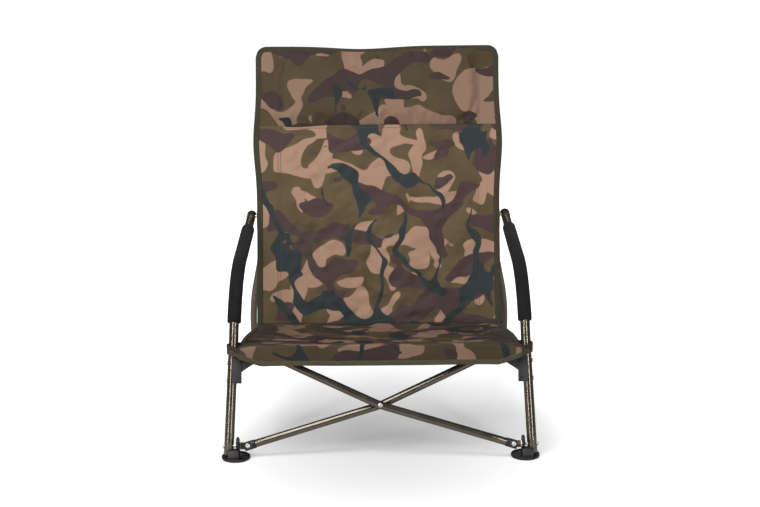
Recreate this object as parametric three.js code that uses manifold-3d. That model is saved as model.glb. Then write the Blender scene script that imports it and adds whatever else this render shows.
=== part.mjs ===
// A low folding fishing chair: two side frames with padded arms, a reclined back on two posts,
// a pair of scissor crosses, four disc feet and a hung fabric seat and back.
// Millimetres, +Z up, +X to the right as seen from the front, the sitter faces -Y.

import * as THREE from 'three';
import { mergeVertices } from 'three/addons/utils/BufferGeometryUtils.js';
import Module from 'manifold-3d';

const wasm = await Module();
wasm.setup();

// Angles
const reclineAngle = THREE.MathUtils.degToRad(18.4);
const legLeanAngle = THREE.MathUtils.degToRad(14.8);
const armRiseAngle = THREE.MathUtils.degToRad(5);
const foamStartAngle = THREE.MathUtils.degToRad(10);

// Clearances, walls and facets
const fit = 0.3;
const pinFit = 0.35;
const overrun = 20;
const tubeWall = 1.2;
const clothThickness = 1.4;
const tubeSides = 12;
const pinSides = 8;
const discSides = 28;
const boreReach = 45;
const mergeReach = 1e-4;
const headTopShare = 0.6;
const headEdgeShare = 0.35;

// Side frame: leg, bend and arm in one tube
const legTubeRadius = 10;
const legFootHalf = 313.5;
const legSplay = 12;
const bendSplay = 5.5;
const armSplay = 1.5;
const legLength = 248;
const armBendRadius = 182;
const armLength = 308;
const armOverhang = 9;
const legStartHeight = 7.5;
const bendSteps = 7;

// Foam grip
const foamRadius = 14.5;
const foamEndRadius = 12.6;
const foamEndLength = 4;
const foamRearGap = 104;

// Arm end cap
const capWall = 1;
const capReach = 9;
const capDome = 3;

// Feet
const discInset = 15.5;
const frontDiscDepth = 2;
const rearDiscDepth = 705;
const discRadius = 29.5;
const discFloor = 3.8;
const discRim = 6.6;
const discRimWidth = 2.4;
const discStepShare = 1.6;
const discChamfer = 2.6;
const blockFront = 20;
const blockTopShare = 0.6;
const blockHeight = 21;
const blockWidth = 24;
const lugLegGap = 6.2;
const lugThickness = 7;
const lugHeight = 42;
const lugHalfDepth = 9;
const knobRadius = 2.6;
const knobHeight = 4;
const rearSocketWall = 3;
const rearSocketHeight = 30;

// Front cross pivots at the feet
const footPivotDepth = 5;
const footPivotHeight = 26;

// Cross tubes
const crossTubeRadius = 8;
const crossPivotInset = 17;
const crossTipInset = 41.1;
const crossTipDrop = 29.5;
const boltRiseShare = 0.417;
const crossOffset = 8.3;
const crossTail = 7;
const sleeveRadius = 9.2;
const sleeveReach = 16;
const sleeveEndWall = 1.4;
const tipCapLength = 3;
const tipPlugLength = 8;

// Rivets and bolts
const rivetRadius = 3;
const rivetHeadRadius = 4.8;
const rivetHeadHeight = 2;
const thinHeadHeight = 1.1;
const rivetBore = 1.2;
const boltHeadRadius = 4.7;
const boltHeadHeight = 2.8;
const nutRadius = 5.4;
const nutHeight = 4;

// Clevis at each front foot
const clevisWall = 2;
const clevisHalfHeight = 7;
const clevisInnerReach = 9;
const clevisCornerShare = 0.7;
const clevisSideThickness = 2.2;
const clevisPlateGap = 0.3;
const clevisPivotMargin = 6;

// Seat bracket on each front leg
const seatBracketInset = 15.3;
const seatBracketRise = 10.9;
const seatBracketLength = 68;
const seatBracketHalfDepth = 11;
const shelfHalfDepth = 19;
const shelfTipReach = 2.1;
const shelfThickness = 4;
const shelfRoot = 34;
const seatRivetLowInset = 9;
const seatRivetHighInset = 22;
const seatRivetInset = 3;

// Back posts, in the reclined frame whose origin is the arm pivot line
const postTubeRadius = 9.5;
const postArmInset = 28.5;
const postTop = 385;
const postEndHeight = 144.3;
const postCapLength = 3;
const postPlugLength = 10;

// Rear cross
const rearCrossBack = 29;
const rearCrossRise = 9;

// Upper post bracket
const platePostGap = 3.1;
const plateThickness = 3;
const plateTop = 13;
const plateFoot = 10;
const plateFront = 10;
const padThickness = 3.6;
const padBottom = -26;

// Rear leg, pivoted behind the post
const rearTubeRadius = 8;
const rearPivotBack = 26;
const rearPivotDropShare = 0.709;
const rearLegShift = 4;
const rearLegSpread = 35;
const rearLegOverhang = 7;
const rearLegLowHeight = 8;

// Lower post bracket
const lowBracketWall = 1.4;
const lowBracketRearWall = 2.4;
const lowBracketHalfWidth = 11;
const lowBracketHalfHeight = 14;

// Rear rests for the tips of the rear cross
const restTipReach = 5.1;
const restThickness = 4;
const restLipHeight = 9;
const restPadHigh = 12;

// Back cloth
const backOverTop = 10;
const backOverBottom = 21.5;
const backBulge = 7.5;
const backBulgeHeight = 170;
const backBulgeSpan = 150;
const backOverhang = 11.5;
const backTopWiden = 3.5;
const cornerRadius = 23;
const topSag = 7;
const topSagPlaceShare = 0.125;
const topSagSpanShare = 0.33;
const pocketSeamInset = 34;
const windowGap = 1.5;
const foldDepth = 2.2;
const foldSlant = 0.7;
const foldPitchShare = 0.12;
const foldPlaceShare = 0.4;
const foldSpanShare = 0.45;
const wrinkleDepth = 1.3;
const wrinklePitchShare = 0.09;
const wrinklePlaceShare = 0.8;
const wrinkleSpanShare = 0.16;
const foldFadeShare = 0.8;
const backAcrossSteps = 28;
const backAlongSteps = 12;
const pocketAlongSteps = 5;

// Headrest pad
const padUnderTop = 9;
const padHeight = 174;
const padInset = 8;
const padDepth = 10;
const padEdgeDepth = 2.5;
const padSeat = 1.1;
const padDrawShare = 0.02;
const padDrawWaves = 3;
const padSquareness = 6;
const padRoundness = 4;
const padAcrossSteps = 16;
const padAlongSteps = 8;

// Seat cloth
const seatFrontReach = 40.3;
const seatCreaseDrop = 3.8;
const seatFrontInset = 11.5;
const seatRearOverhang = 7;
const seatSpreadPower = 1.3;
const seatStripDrop = 39;
const seatStripCornerDrop = 22;
const seatSag = 12;
const seatCreaseShare = 0.86;
const seatCornerSharpness = 14;
const seatFoldDepth = 2.4;
const seatFoldsAcross = 7;
const seatFoldsAlong = 9;
const seatFoldFade = 4;
const seatAcrossSteps = 24;
const seatAlongSteps = 14;
const loopRadius = 13.6;
const loopRear = 16;
const loopStartShare = -0.35;
const loopSteps = 8;
const seamGap = 1.2;

// Colours and finishes
const paintColour = 0x5f5541;
const plasticColour = 0x232324;
const foamColour = 0x252424;
const steelColour = 0xb9bbbd;
const clothColour = 0x62523c;
const paintRoughness = 0.42;
const paintMetalness = 0.6;
const plasticRoughness = 0.6;
const foamRoughness = 0.95;
const steelRoughness = 0.3;
const clothRoughness = 0.9;

// Widths that follow the side frames
const legTopHalf = legFootHalf - legSplay;
const bendEndHalf = legTopHalf - bendSplay;
const armEndHalf = bendEndHalf - armSplay;
const discHalf = legFootHalf - discInset;
const lugInnerHalf = legFootHalf - legTubeRadius - lugLegGap - lugThickness;
const seatBracketInnerHalf = legTopHalf - seatBracketInset;
const postHalf = armEndHalf - postArmInset;
const plateInnerHalf = postHalf + postTubeRadius + platePostGap;
const rearLegTopHalf = postHalf + rearLegShift;
const rearLegFootHalf = rearLegTopHalf + rearLegSpread;
const backEdgeHalf = postHalf + backOverhang;
const pocketSeamHalf = postHalf - pocketSeamInset;
const padHalf = postHalf - padInset;
const seatFrontHalf = legTopHalf - seatFrontInset;
const seatRearHalf = postHalf + seatRearOverhang;

const xAxis = new THREE.Vector3(1, 0, 0);
const yAxis = new THREE.Vector3(0, 1, 0);
const zAxis = new THREE.Vector3(0, 0, 1);

// Points: x to the right, depth back from the front feet, height above the floor
const meanDepth = (frontDiscDepth + rearDiscDepth) / 2;
const at = (x, depth, height) => new THREE.Vector3(x, depth - meanDepth, height);

// Side frame path
const legTopDepth = legLength * Math.sin(legLeanAngle);
const legTopHeight = legLength * Math.cos(legLeanAngle);
const bendCentreDepth = legTopDepth + armBendRadius * Math.cos(legLeanAngle);
const bendCentreHeight = legTopHeight - armBendRadius * Math.sin(legLeanAngle);
const bendSweep = Math.PI / 2 - legLeanAngle - armRiseAngle;
const bendPoint = (share) => {
  const angle = legLeanAngle + bendSweep * share;
  return {
    depth: bendCentreDepth - armBendRadius * Math.cos(angle),
    height: bendCentreHeight + armBendRadius * Math.sin(angle),
    half: THREE.MathUtils.lerp(legTopHalf, bendEndHalf, share),
  };
};
const bendEnd = bendPoint(1);
const armPoint = (distance) => ({
  depth: bendEnd.depth + distance * Math.cos(armRiseAngle),
  height: bendEnd.height + distance * Math.sin(armRiseAngle),
  half: THREE.MathUtils.lerp(bendEndHalf, armEndHalf, distance / armLength),
});
const legPoint = (height) => ({
  depth: height * Math.tan(legLeanAngle),
  height,
  half: THREE.MathUtils.lerp(legFootHalf, legTopHalf, height / legTopHeight),
});
const armPivot = armPoint(armLength);
const place = (side, spot) => at(side * spot.half, spot.depth, spot.height);

// Cross tubes, from the clevis over the bolt and on to the rest of the other side
const crossHalf = lugInnerHalf - crossPivotInset;
const tipHalf = seatBracketInnerHalf - crossTipInset;
const tipRise = (legTopHeight - footPivotHeight - crossTipDrop) / Math.cos(reclineAngle);
const boltRise = tipRise * boltRiseShare;
const crossLowerLength = Math.hypot(crossHalf, boltRise);
const crossUpperLength = Math.hypot(tipHalf, tipRise - boltRise);
const crossLowerAngle = Math.atan2(boltRise, crossHalf);
const crossUpperAngle = Math.atan2(tipRise - boltRise, tipHalf);
const crossTotal = crossLowerLength + crossUpperLength;
const shelfTopRise = tipRise - crossTubeRadius / Math.cos(crossUpperAngle) - fit;
const shelfInnerHalf = tipHalf - shelfTipReach;
const restInnerHalf = tipHalf - restTipReach;

// Places along the leg, in the front cross frame
const seatBracketHigh = shelfTopRise + seatBracketRise;
const seatBracketLow = seatBracketHigh - seatBracketLength;
const seatRivetHeights = [seatBracketLow + seatRivetLowInset, seatBracketHigh - seatRivetHighInset];

// Places along the posts, in the reclined frame
const postBottom = (postEndHeight - armPivot.height) / Math.cos(reclineAngle);
const backTop = postTop + backOverTop;
const backBottom = postBottom + backOverBottom;
const padHigh = backTop - padUnderTop;
const padLow = padHigh - padHeight;
const rearCrossLow = postBottom + rearCrossRise;
const restTop = rearCrossLow + shelfTopRise + restPadHigh;
const rearPivotDrop = -restTop * rearPivotDropShare;
const plateBottom = -rearPivotDrop - plateFoot;
const padFront = postTubeRadius + fit;
const sheetFront = -(postTubeRadius + fit + clothThickness / 2);
const pocketRadius = postTubeRadius + fit + clothThickness;

const finish = (color, roughness, metalness) => (
  new THREE.MeshStandardMaterial({ color, roughness, metalness })
);
const paint = () => finish(paintColour, paintRoughness, paintMetalness);
const plastic = () => finish(plasticColour, plasticRoughness, 0);
const foam = () => finish(foamColour, foamRoughness, 0);
const steel = () => finish(steelColour, steelRoughness, 1);
const cloth = () => finish(clothColour, clothRoughness, 0);

// Solids for cuts and joins
function toSolid(geometry) {
  const plain = geometry.clone();
  plain.deleteAttribute('normal');
  plain.deleteAttribute('uv');
  const merged = mergeVertices(plain, mergeReach);
  return new wasm.Manifold(new wasm.Mesh({
    numProp: 3,
    vertProperties: new Float32Array(merged.attributes.position.array),
    triVerts: new Uint32Array(merged.index.array),
  }));
}

function toGeometry(solid) {
  const mesh = solid.getMesh();
  const geometry = new THREE.BufferGeometry();
  geometry.setAttribute('position', new THREE.BufferAttribute(new Float32Array(mesh.vertProperties), 3));
  geometry.setIndex(new THREE.BufferAttribute(new Uint32Array(mesh.triVerts), 1));
  geometry.computeVertexNormals();
  return geometry;
}

function join(...geometries) {
  const solids = geometries.map(toSolid);
  return toGeometry(solids.slice(1).reduce((sum, solid) => sum.add(solid), solids[0]));
}

function cut(base, ...tools) {
  const rest = tools.map(toSolid).reduce((left, tool) => left.subtract(tool), toSolid(base));
  return toGeometry(rest);
}

function indexedSolid(positions, indices) {
  const geometry = new THREE.BufferGeometry();
  geometry.setAttribute('position', new THREE.Float32BufferAttribute(positions, 3));
  geometry.setIndex(indices);
  geometry.computeVertexNormals();
  return geometry;
}

// A surface of rings of points; rings close on themselves and the first and last are capped
function ringSolid(rings) {
  const count = rings[0].length;
  const positions = rings.flat().flatMap((point) => [point.x, point.y, point.z]);
  const indices = [];
  for (let ring = 0; ring < rings.length - 1; ring += 1) {
    for (let side = 0; side < count; side += 1) {
      const next = (side + 1) % count;
      const low = ring * count;
      const high = low + count;
      indices.push(low + side, low + next, high + next, low + side, high + next, high + side);
    }
  }
  const last = (rings.length - 1) * count;
  for (let side = 1; side < count - 1; side += 1) {
    indices.push(0, side + 1, side, last, last + side, last + side + 1);
  }
  return indexedSolid(positions, indices);
}

// Rings of a round bar along a path, one radius for each point
function barAlong(path, radii, sides = tubeSides) {
  const tangents = path.map((point, index) => {
    const before = path[Math.max(index - 1, 0)];
    const after = path[Math.min(index + 1, path.length - 1)];
    return after.clone().sub(before).normalize();
  });
  const across = new THREE.Vector3(1, 0, 0);
  if (Math.abs(tangents[0].x) > Math.SQRT1_2) across.set(0, 1, 0);
  const rings = path.map((centre, index) => {
    const first = across.clone().addScaledVector(tangents[index], -across.dot(tangents[index])).normalize();
    const second = tangents[index].clone().cross(first);
    return Array.from({ length: sides }, (_, side) => {
      const angle = (side / sides) * Math.PI * 2;
      return centre.clone()
        .addScaledVector(first, radii[index] * Math.cos(angle))
        .addScaledVector(second, radii[index] * Math.sin(angle));
    });
  });
  return ringSolid(rings);
}

const rod = (from, to, radius, sides = tubeSides) => barAlong([from, to], [radius, radius], sides);

function stretched(path, extra) {
  const longer = path.map((point) => point.clone());
  const last = longer.length - 1;
  const headStep = longer[0].clone().sub(longer[1]).normalize();
  const tailStep = longer[last].clone().sub(longer[last - 1]).normalize();
  longer[0].addScaledVector(headStep, extra);
  longer[last].addScaledVector(tailStep, extra);
  return longer;
}

function hollowTube(path, radius, wall) {
  const outer = barAlong(path, path.map(() => radius));
  const inner = barAlong(stretched(path, overrun), path.map(() => radius - wall));
  return cut(outer, inner);
}

function box(low, high) {
  const size = high.clone().sub(low);
  const centre = low.clone().add(high).multiplyScalar(0.5);
  return new THREE.BoxGeometry(size.x, size.y, size.z).translate(centre.x, centre.y, centre.z);
}

// A plate with its outline in the plane of x and z, from one depth to another
function plateInXZ(outline, frontY, rearY) {
  const ring = outline.map(([x, z]) => new THREE.Vector2(x, z));
  if (THREE.ShapeUtils.isClockWise(ring)) ring.reverse();
  const depth = rearY - frontY;
  const geometry = new THREE.ExtrudeGeometry(new THREE.Shape(ring), { depth, bevelEnabled: false });
  return geometry.rotateX(Math.PI / 2).translate(0, rearY, 0);
}

// A plate with its outline in the plane of y and z, from one x to another
function plateInYZ(outline, lowX, highX) {
  const ring = outline.map(([y, z]) => new THREE.Vector2(y, z));
  if (THREE.ShapeUtils.isClockWise(ring)) ring.reverse();
  const depth = highX - lowX;
  const geometry = new THREE.ExtrudeGeometry(new THREE.Shape(ring), { depth, bevelEnabled: false });
  return geometry.rotateZ(Math.PI / 2).rotateY(Math.PI / 2).translate(lowX, 0, 0);
}

// A turned piece: [radius, height] points from the axis round to the axis, standing on its axis
function turned(profile, from, direction, sides = pinSides) {
  const points = profile.map(([radius, height]) => new THREE.Vector2(radius, height));
  const geometry = new THREE.LatheGeometry(points, sides);
  const turn = new THREE.Quaternion().setFromUnitVectors(yAxis, direction.clone().normalize());
  return geometry.applyQuaternion(turn).translate(from.x, from.y, from.z);
}

// A rivet: domed head at the start, shank, and a second head over the far face
function rivet(from, to, startHeadHeight, endHeadHeight) {
  const direction = to.clone().sub(from);
  const grip = direction.length();
  const profile = [
    [0, -startHeadHeight],
    [rivetHeadRadius * headTopShare, -startHeadHeight],
    [rivetHeadRadius, -startHeadHeight * headEdgeShare],
    [rivetHeadRadius, 0],
    [rivetRadius, 0],
    [rivetRadius, grip],
    [rivetHeadRadius, grip],
    [rivetHeadRadius, grip + endHeadHeight * headEdgeShare],
    [rivetHeadRadius * headTopShare, grip + endHeadHeight],
    [0, grip + endHeadHeight],
  ];
  return turned(profile, from, direction);
}

// A pin whose only head is at its far end
function headedPin(from, to) {
  const direction = to.clone().sub(from);
  const grip = direction.length();
  const profile = [
    [0, 0],
    [rivetRadius, 0],
    [rivetRadius, grip],
    [rivetHeadRadius, grip],
    [rivetHeadRadius, grip + rivetHeadHeight * headEdgeShare],
    [rivetHeadRadius * headTopShare, grip + rivetHeadHeight],
    [0, grip + rivetHeadHeight],
  ];
  return turned(profile, from, direction);
}

// The faces of two matching grids of points and the four sides between them
function gridShell(positions, acrossSteps, alongSteps) {
  const row = acrossSteps + 1;
  const back = row * (alongSteps + 1);
  const top = alongSteps * row;
  const indices = [];
  const quad = (a, b, c, d) => indices.push(a, b, c, a, c, d);
  for (let j = 0; j < alongSteps; j += 1) {
    for (let i = 0; i < acrossSteps; i += 1) {
      const start = j * row + i;
      quad(start, start + 1, start + row + 1, start + row);
      quad(back + start + row, back + start + row + 1, back + start + 1, back + start);
    }
    const left = j * row;
    const right = left + acrossSteps;
    quad(left, left + row, back + left + row, back + left);
    quad(back + right, back + right + row, right + row, right);
  }
  for (let i = 0; i < acrossSteps; i += 1) {
    quad(back + i, back + i + 1, i + 1, i);
    quad(top + i, top + i + 1, back + top + i + 1, back + top + i);
  }
  return indexedSolid(positions, indices);
}

// A sheet with a thickness: a grid of points, its normals found from the grid
function sheetSolid(acrossSteps, alongSteps, surface, thickness) {
  const point = (i, j) => surface((i / acrossSteps) * 2 - 1, j / alongSteps);
  const normal = (i, j) => {
    const across = point(Math.min(i + 1, acrossSteps), j).sub(point(Math.max(i - 1, 0), j));
    const along = point(i, Math.min(j + 1, alongSteps)).sub(point(i, Math.max(j - 1, 0)));
    return across.cross(along).normalize();
  };
  const positions = [];
  for (const side of [0.5, -0.5]) {
    for (let j = 0; j <= alongSteps; j += 1) {
      for (let i = 0; i <= acrossSteps; i += 1) {
        const spot = point(i, j).addScaledVector(normal(i, j), side * thickness);
        positions.push(spot.x, spot.y, spot.z);
      }
    }
  }
  return gridShell(positions, acrossSteps, alongSteps);
}

function bendSpots(fromShare, steps) {
  const share = (step) => fromShare + (1 - fromShare) * (step / steps);
  return Array.from({ length: steps + 1 }, (_, step) => bendPoint(share(step)));
}

function sidePath(side) {
  const spots = [legPoint(legStartHeight), ...bendSpots(0, bendSteps), armPoint(armLength + armOverhang)];
  return spots.map((spot) => place(side, spot));
}

// The reclined frame, at the arm pivot line, and the front cross frame, at the foot pivots
const reclineFrame = new THREE.Group();
reclineFrame.position.copy(at(0, armPivot.depth, armPivot.height));
reclineFrame.rotation.x = -reclineAngle;
reclineFrame.updateMatrixWorld();
const frontCrossFrame = new THREE.Group();
frontCrossFrame.position.copy(at(0, footPivotDepth, footPivotHeight));
frontCrossFrame.rotation.x = -reclineAngle;
frontCrossFrame.updateMatrixWorld();
const chair = new THREE.Group();
chair.add(reclineFrame, frontCrossFrame);

function add(parent, name, geometry, material) {
  const mesh = new THREE.Mesh(geometry, material);
  mesh.name = name;
  parent.add(mesh);
}

// The lower and the upper x of two distances from the middle on one side
const spanX = (side, inner, outer) => [side * inner, side * outer].sort((a, b) => a - b);

const sideName = (side) => (side < 0 ? 'left' : 'right');

// Points in the reclined or the front cross frame: across, behind the plane, up along it
const local = (x, back, up) => new THREE.Vector3(x, back, up);

// Leg and arm tube, with the holes of the foot pivot rivet, the seat bracket rivets and the arm pivot
const footPivotSpot = { half: legFootHalf, depth: footPivotDepth, height: footPivotHeight };
const footPivot = (side, half) => place(side, { ...footPivotSpot, half });
const seatRivetSpot = (height) => legPoint(height * Math.cos(reclineAngle) + footPivotHeight);

function xBore(side, spot, radius) {
  const centre = place(side, spot);
  return rod(
    centre.clone().addScaledVector(xAxis, -boreReach),
    centre.clone().addScaledVector(xAxis, boreReach),
    radius,
    pinSides,
  );
}

function frontLegArm(side) {
  const tube = hollowTube(sidePath(side), legTubeRadius, tubeWall);
  const bores = [footPivotSpot, armPivot, ...seatRivetHeights.map(seatRivetSpot)];
  return cut(tube, ...bores.map((spot) => xBore(side, spot, rivetRadius + pinFit)));
}

function armFoam(side) {
  const startShare = foamStartAngle / bendSweep;
  const bend = bendSpots(startShare, bendSteps - 1);
  const middle = armPoint((armLength - foamRearGap) / 2);
  const end = armPoint(armLength - foamRearGap);
  const path = [...bend, middle, end].map((spot) => place(side, spot));
  const inner = stretched(path, overrun);
  const first = path[0].clone().sub(path[1]).normalize();
  const last = path[path.length - 1].clone().sub(path[path.length - 2]).normalize();
  const outer = [
    path[0].clone(),
    path[0].clone().addScaledVector(first, -foamEndLength),
    ...path.slice(1, -1),
    path[path.length - 1].clone().addScaledVector(last, -foamEndLength),
    path[path.length - 1].clone(),
  ];
  const isEnd = (index) => index === 0 || index === outer.length - 1;
  const radii = outer.map((_, index) => (isEnd(index) ? foamEndRadius : foamRadius));
  return cut(barAlong(outer, radii), barAlong(inner, inner.map(() => legTubeRadius + fit)));
}

function armEndCap(side) {
  const end = place(side, armPoint(armLength + armOverhang));
  const direction = end.clone().sub(place(side, bendEnd)).normalize();
  const innerRadius = legTubeRadius - tubeWall - fit;
  const profile = [
    [0, -capReach],
    [innerRadius, -capReach],
    [innerRadius, fit],
    [legTubeRadius + capWall, fit],
    [legTubeRadius + capWall, fit + capDome],
    [legTubeRadius - capDome, fit + capDome * 2],
    [0, fit + capDome * 2],
  ];
  const cap = turned(profile, end, direction, tubeSides);
  return cut(cap, xBore(side, armPivot, rivetHeadRadius));
}

// Front foot: dished disc, block in front of the leg and the lug that carries the cross
function discSolid(half, depth) {
  const profile = [
    [0, 0],
    [discRadius - discChamfer, 0],
    [discRadius, discChamfer],
    [discRadius, discRim],
    [discRadius - discRimWidth, discRim],
    [discRadius - discRimWidth * discStepShare, discFloor],
    [0, discFloor],
  ];
  return turned(profile, at(half, depth, 0), zAxis, discSides);
}

function frontFoot(side) {
  const base = at(0, 0, 0);
  const lugOuterHalf = lugInnerHalf + lugThickness;
  const blockOuterHalf = lugInnerHalf + blockWidth;
  const bottom = discFloor / 2;
  const centre = base.y + footPivotDepth;
  const lugOutline = [
    [centre - lugHalfDepth, bottom],
    [centre - lugHalfDepth, lugHeight - lugHalfDepth],
    [centre - lugHalfDepth / 2, lugHeight],
    [centre + lugHalfDepth / 2, lugHeight],
    [centre + lugHalfDepth, lugHeight - lugHalfDepth],
    [centre + lugHalfDepth, bottom],
  ];
  const blockOutline = [
    [base.y - blockFront, bottom],
    [base.y - blockFront * blockTopShare, blockHeight],
    [centre, blockHeight],
    [centre, bottom],
  ];
  const [lugLowX, lugHighX] = spanX(side, lugInnerHalf, lugOuterHalf);
  const [blockLowX, blockHighX] = spanX(side, lugInnerHalf, blockOuterHalf);
  const lug = plateInYZ(lugOutline, lugLowX, lugHighX);
  const block = plateInYZ(blockOutline, blockLowX, blockHighX);
  const knobs = [-1, 1].map((end) => {
    const middleHalf = lugInnerHalf + lugThickness / 2;
    const middle = local(side * middleHalf, centre + end * lugHalfDepth / 3, lugHeight);
    const low = middle.clone().setZ(lugHeight - knobHeight);
    return rod(low, middle.clone().setZ(lugHeight + knobHeight / 2), knobRadius, pinSides);
  });
  const body = join(discSolid(side * discHalf, frontDiscDepth), block, lug, ...knobs);
  const legStart = place(side, legPoint(legStartHeight - fit));
  const legEnd = place(side, legPoint(legTopHeight));
  const legBore = rod(legStart, legEnd, legTubeRadius + fit);
  return cut(body, legBore, xBore(side, footPivotSpot, rivetRadius + pinFit));
}

function footPivotRivet(side) {
  const inner = footPivot(side, lugInnerHalf - clevisSideThickness);
  const outer = footPivot(side, legFootHalf + legTubeRadius);
  return headedPin(inner, outer);
}

// A shelf under the tip of a cross tube
function shelfOutline(side, innerHalf, outerHalf, drop) {
  const slope = Math.tan(crossUpperAngle);
  return [
    [side * innerHalf, shelfTopRise - (tipHalf - innerHalf) * slope],
    [side * tipHalf, shelfTopRise],
    [side * outerHalf, shelfTopRise],
    [side * outerHalf, shelfTopRise - drop],
    [side * innerHalf, shelfTopRise - (tipHalf - innerHalf) * slope - shelfThickness],
  ];
}

// Seat bracket: a saddle on the leg with a shelf
function seatBracket(side) {
  const legLocal = (height) => frontCrossFrame.worldToLocal(place(side, legPoint(height)));
  const middle = legLocal(shelfTopRise).y;
  const [lowX, highX] = spanX(side, seatBracketInnerHalf, legPoint(shelfTopRise).half);
  const saddle = box(
    local(lowX, middle - seatBracketHalfDepth, seatBracketLow),
    local(highX, middle + seatBracketHalfDepth, seatBracketHigh),
  );
  const outerHalf = seatBracketInnerHalf + fit;
  const webOutline = shelfOutline(side, shelfInnerHalf, outerHalf, shelfRoot);
  const web = plateInXZ(webOutline, middle - seatBracketHalfDepth / 2, middle + seatBracketHalfDepth / 2);
  const shelfPlate = shelfOutline(side, shelfInnerHalf, outerHalf, shelfThickness * 2);
  const shelf = plateInXZ(shelfPlate, -shelfHalfDepth, shelfHalfDepth);
  const bores = seatRivetHeights.map((height) => {
    const spot = frontCrossFrame.worldToLocal(place(side, seatRivetSpot(height)));
    const blindEnd = local(side * (seatBracketInnerHalf + seatRivetInset - fit), spot.y, spot.z);
    return rod(blindEnd, spot, rivetRadius + pinFit, pinSides);
  });
  const legPath = sidePath(side).map((point) => frontCrossFrame.worldToLocal(point));
  const leg = barAlong(legPath, legPath.map(() => legTubeRadius + fit));
  return cut(join(saddle, web, shelf), leg, ...bores);
}

function seatRivet(side, height) {
  const spot = seatRivetSpot(height);
  const inner = at(side * (seatBracketInnerHalf + seatRivetInset), spot.depth, spot.height);
  const outer = at(side * (spot.half + legTubeRadius + fit), spot.depth, spot.height);
  return headedPin(inner, outer);
}

// Cross tubes in their own plane: from the foot of one side, over the bolt, to the rest of the other
function crossSpot(side, low, back, distance) {
  if (distance <= crossLowerLength) {
    const across = crossHalf - distance * Math.cos(crossLowerAngle);
    return local(side * across, back, low + distance * Math.sin(crossLowerAngle));
  }
  const beyond = distance - crossLowerLength;
  const rise = boltRise + beyond * Math.sin(crossUpperAngle);
  return local(-side * beyond * Math.cos(crossUpperAngle), back, low + rise);
}

function yBore(centre, radius) {
  const front = centre.clone().setY(centre.y - overrun);
  return rod(front, centre.clone().setY(centre.y + overrun), radius, pinSides);
}

function crossTube(side, low, back) {
  const distances = [-crossTail, crossLowerLength, crossTotal - tipCapLength];
  const path = distances.map((distance) => crossSpot(side, low, back, distance));
  const tube = hollowTube(path, crossTubeRadius, tubeWall);
  const pivot = crossSpot(side, low, back, 0);
  const bolt = crossSpot(side, low, back, crossLowerLength);
  return cut(tube, yBore(pivot, rivetRadius + pinFit), yBore(bolt, rivetRadius + pinFit));
}

function crossSleeve(side, low, back) {
  const spot = (distance) => crossSpot(side, low, back, distance);
  const outer = rod(spot(-crossTail - sleeveEndWall), spot(sleeveReach), sleeveRadius);
  const inner = rod(spot(-crossTail - fit), spot(sleeveReach + overrun), crossTubeRadius + fit);
  return cut(outer, inner, yBore(spot(0), rivetRadius + pinFit));
}

function crossTip(side, low, back) {
  const start = crossSpot(side, low, back, crossTotal - tipCapLength);
  const direction = crossSpot(side, low, back, crossTotal).sub(start).normalize();
  const plugRadius = crossTubeRadius - tubeWall - fit;
  const profile = [
    [0, -tipPlugLength],
    [plugRadius, -tipPlugLength],
    [plugRadius, fit],
    [crossTubeRadius, fit],
    [crossTubeRadius, tipCapLength / 2],
    [plugRadius, tipCapLength],
    [0, tipCapLength],
  ];
  return turned(profile, start, direction, tubeSides);
}

function crossBolt(low, back) {
  const reach = crossOffset + crossTubeRadius + fit;
  const profile = [
    [0, -boltHeadHeight],
    [boltHeadRadius * headTopShare, -boltHeadHeight],
    [boltHeadRadius, -boltHeadHeight * headEdgeShare],
    [boltHeadRadius, 0],
    [rivetRadius, 0],
    [rivetRadius, reach * 2],
    [nutRadius, reach * 2],
    [nutRadius, reach * 2 + nutHeight],
    [0, reach * 2 + nutHeight],
  ];
  return turned(profile, local(0, back - reach, low + boltRise), yAxis);
}

// Clevis: a U of two plates round the tube's end and a side plate against the foot's lug
function footClevis(side) {
  const back = -side * crossOffset;
  const reach = sleeveRadius + clevisPlateGap;
  const sideOuter = lugInnerHalf - fit;
  const sideInner = sideOuter - clevisSideThickness;
  const outerReach = reach + clevisWall;
  const spread = [-clevisPivotMargin, clevisPivotMargin, back - outerReach, back + outerReach];
  const [lowX, highX] = spanX(side, sideInner, sideOuter);
  const sidePlate = box(
    local(lowX, Math.min(...spread), -clevisHalfHeight),
    local(highX, Math.max(...spread), clevisHalfHeight),
  );
  const outline = [
    [side * sideOuter, -clevisHalfHeight],
    [side * crossHalf, -clevisHalfHeight],
    [side * (crossHalf - clevisInnerReach * clevisCornerShare), -clevisHalfHeight * clevisCornerShare],
    [side * (crossHalf - clevisInnerReach), 0],
    [side * (crossHalf - clevisInnerReach * clevisCornerShare), clevisHalfHeight * clevisCornerShare],
    [side * crossHalf, clevisHalfHeight],
    [side * sideOuter, clevisHalfHeight],
  ];
  const front = plateInXZ(outline, back - reach - clevisWall, back - reach);
  const rear = plateInXZ(outline, back + reach, back + reach + clevisWall);
  const boreRadius = rivetRadius + pinFit;
  const pivotBore = rod(local(lowX - overrun, 0, 0), local(highX + overrun, 0, 0), boreRadius, pinSides);
  return cut(join(sidePlate, front, rear), pivotBore, yBore(local(side * crossHalf, back, 0), boreRadius));
}

function clevisTubeRivet(side) {
  const back = -side * crossOffset;
  const reach = sleeveRadius + clevisPlateGap + clevisWall + fit;
  const front = local(side * crossHalf, back - reach, 0);
  const solid = rivet(front, front.clone().setY(back + reach), rivetHeadHeight, thinHeadHeight);
  const dimple = rod(front.clone().setY(front.y - overrun), front.clone().setY(front.y), rivetBore, pinSides);
  return cut(solid, dimple);
}

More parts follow.
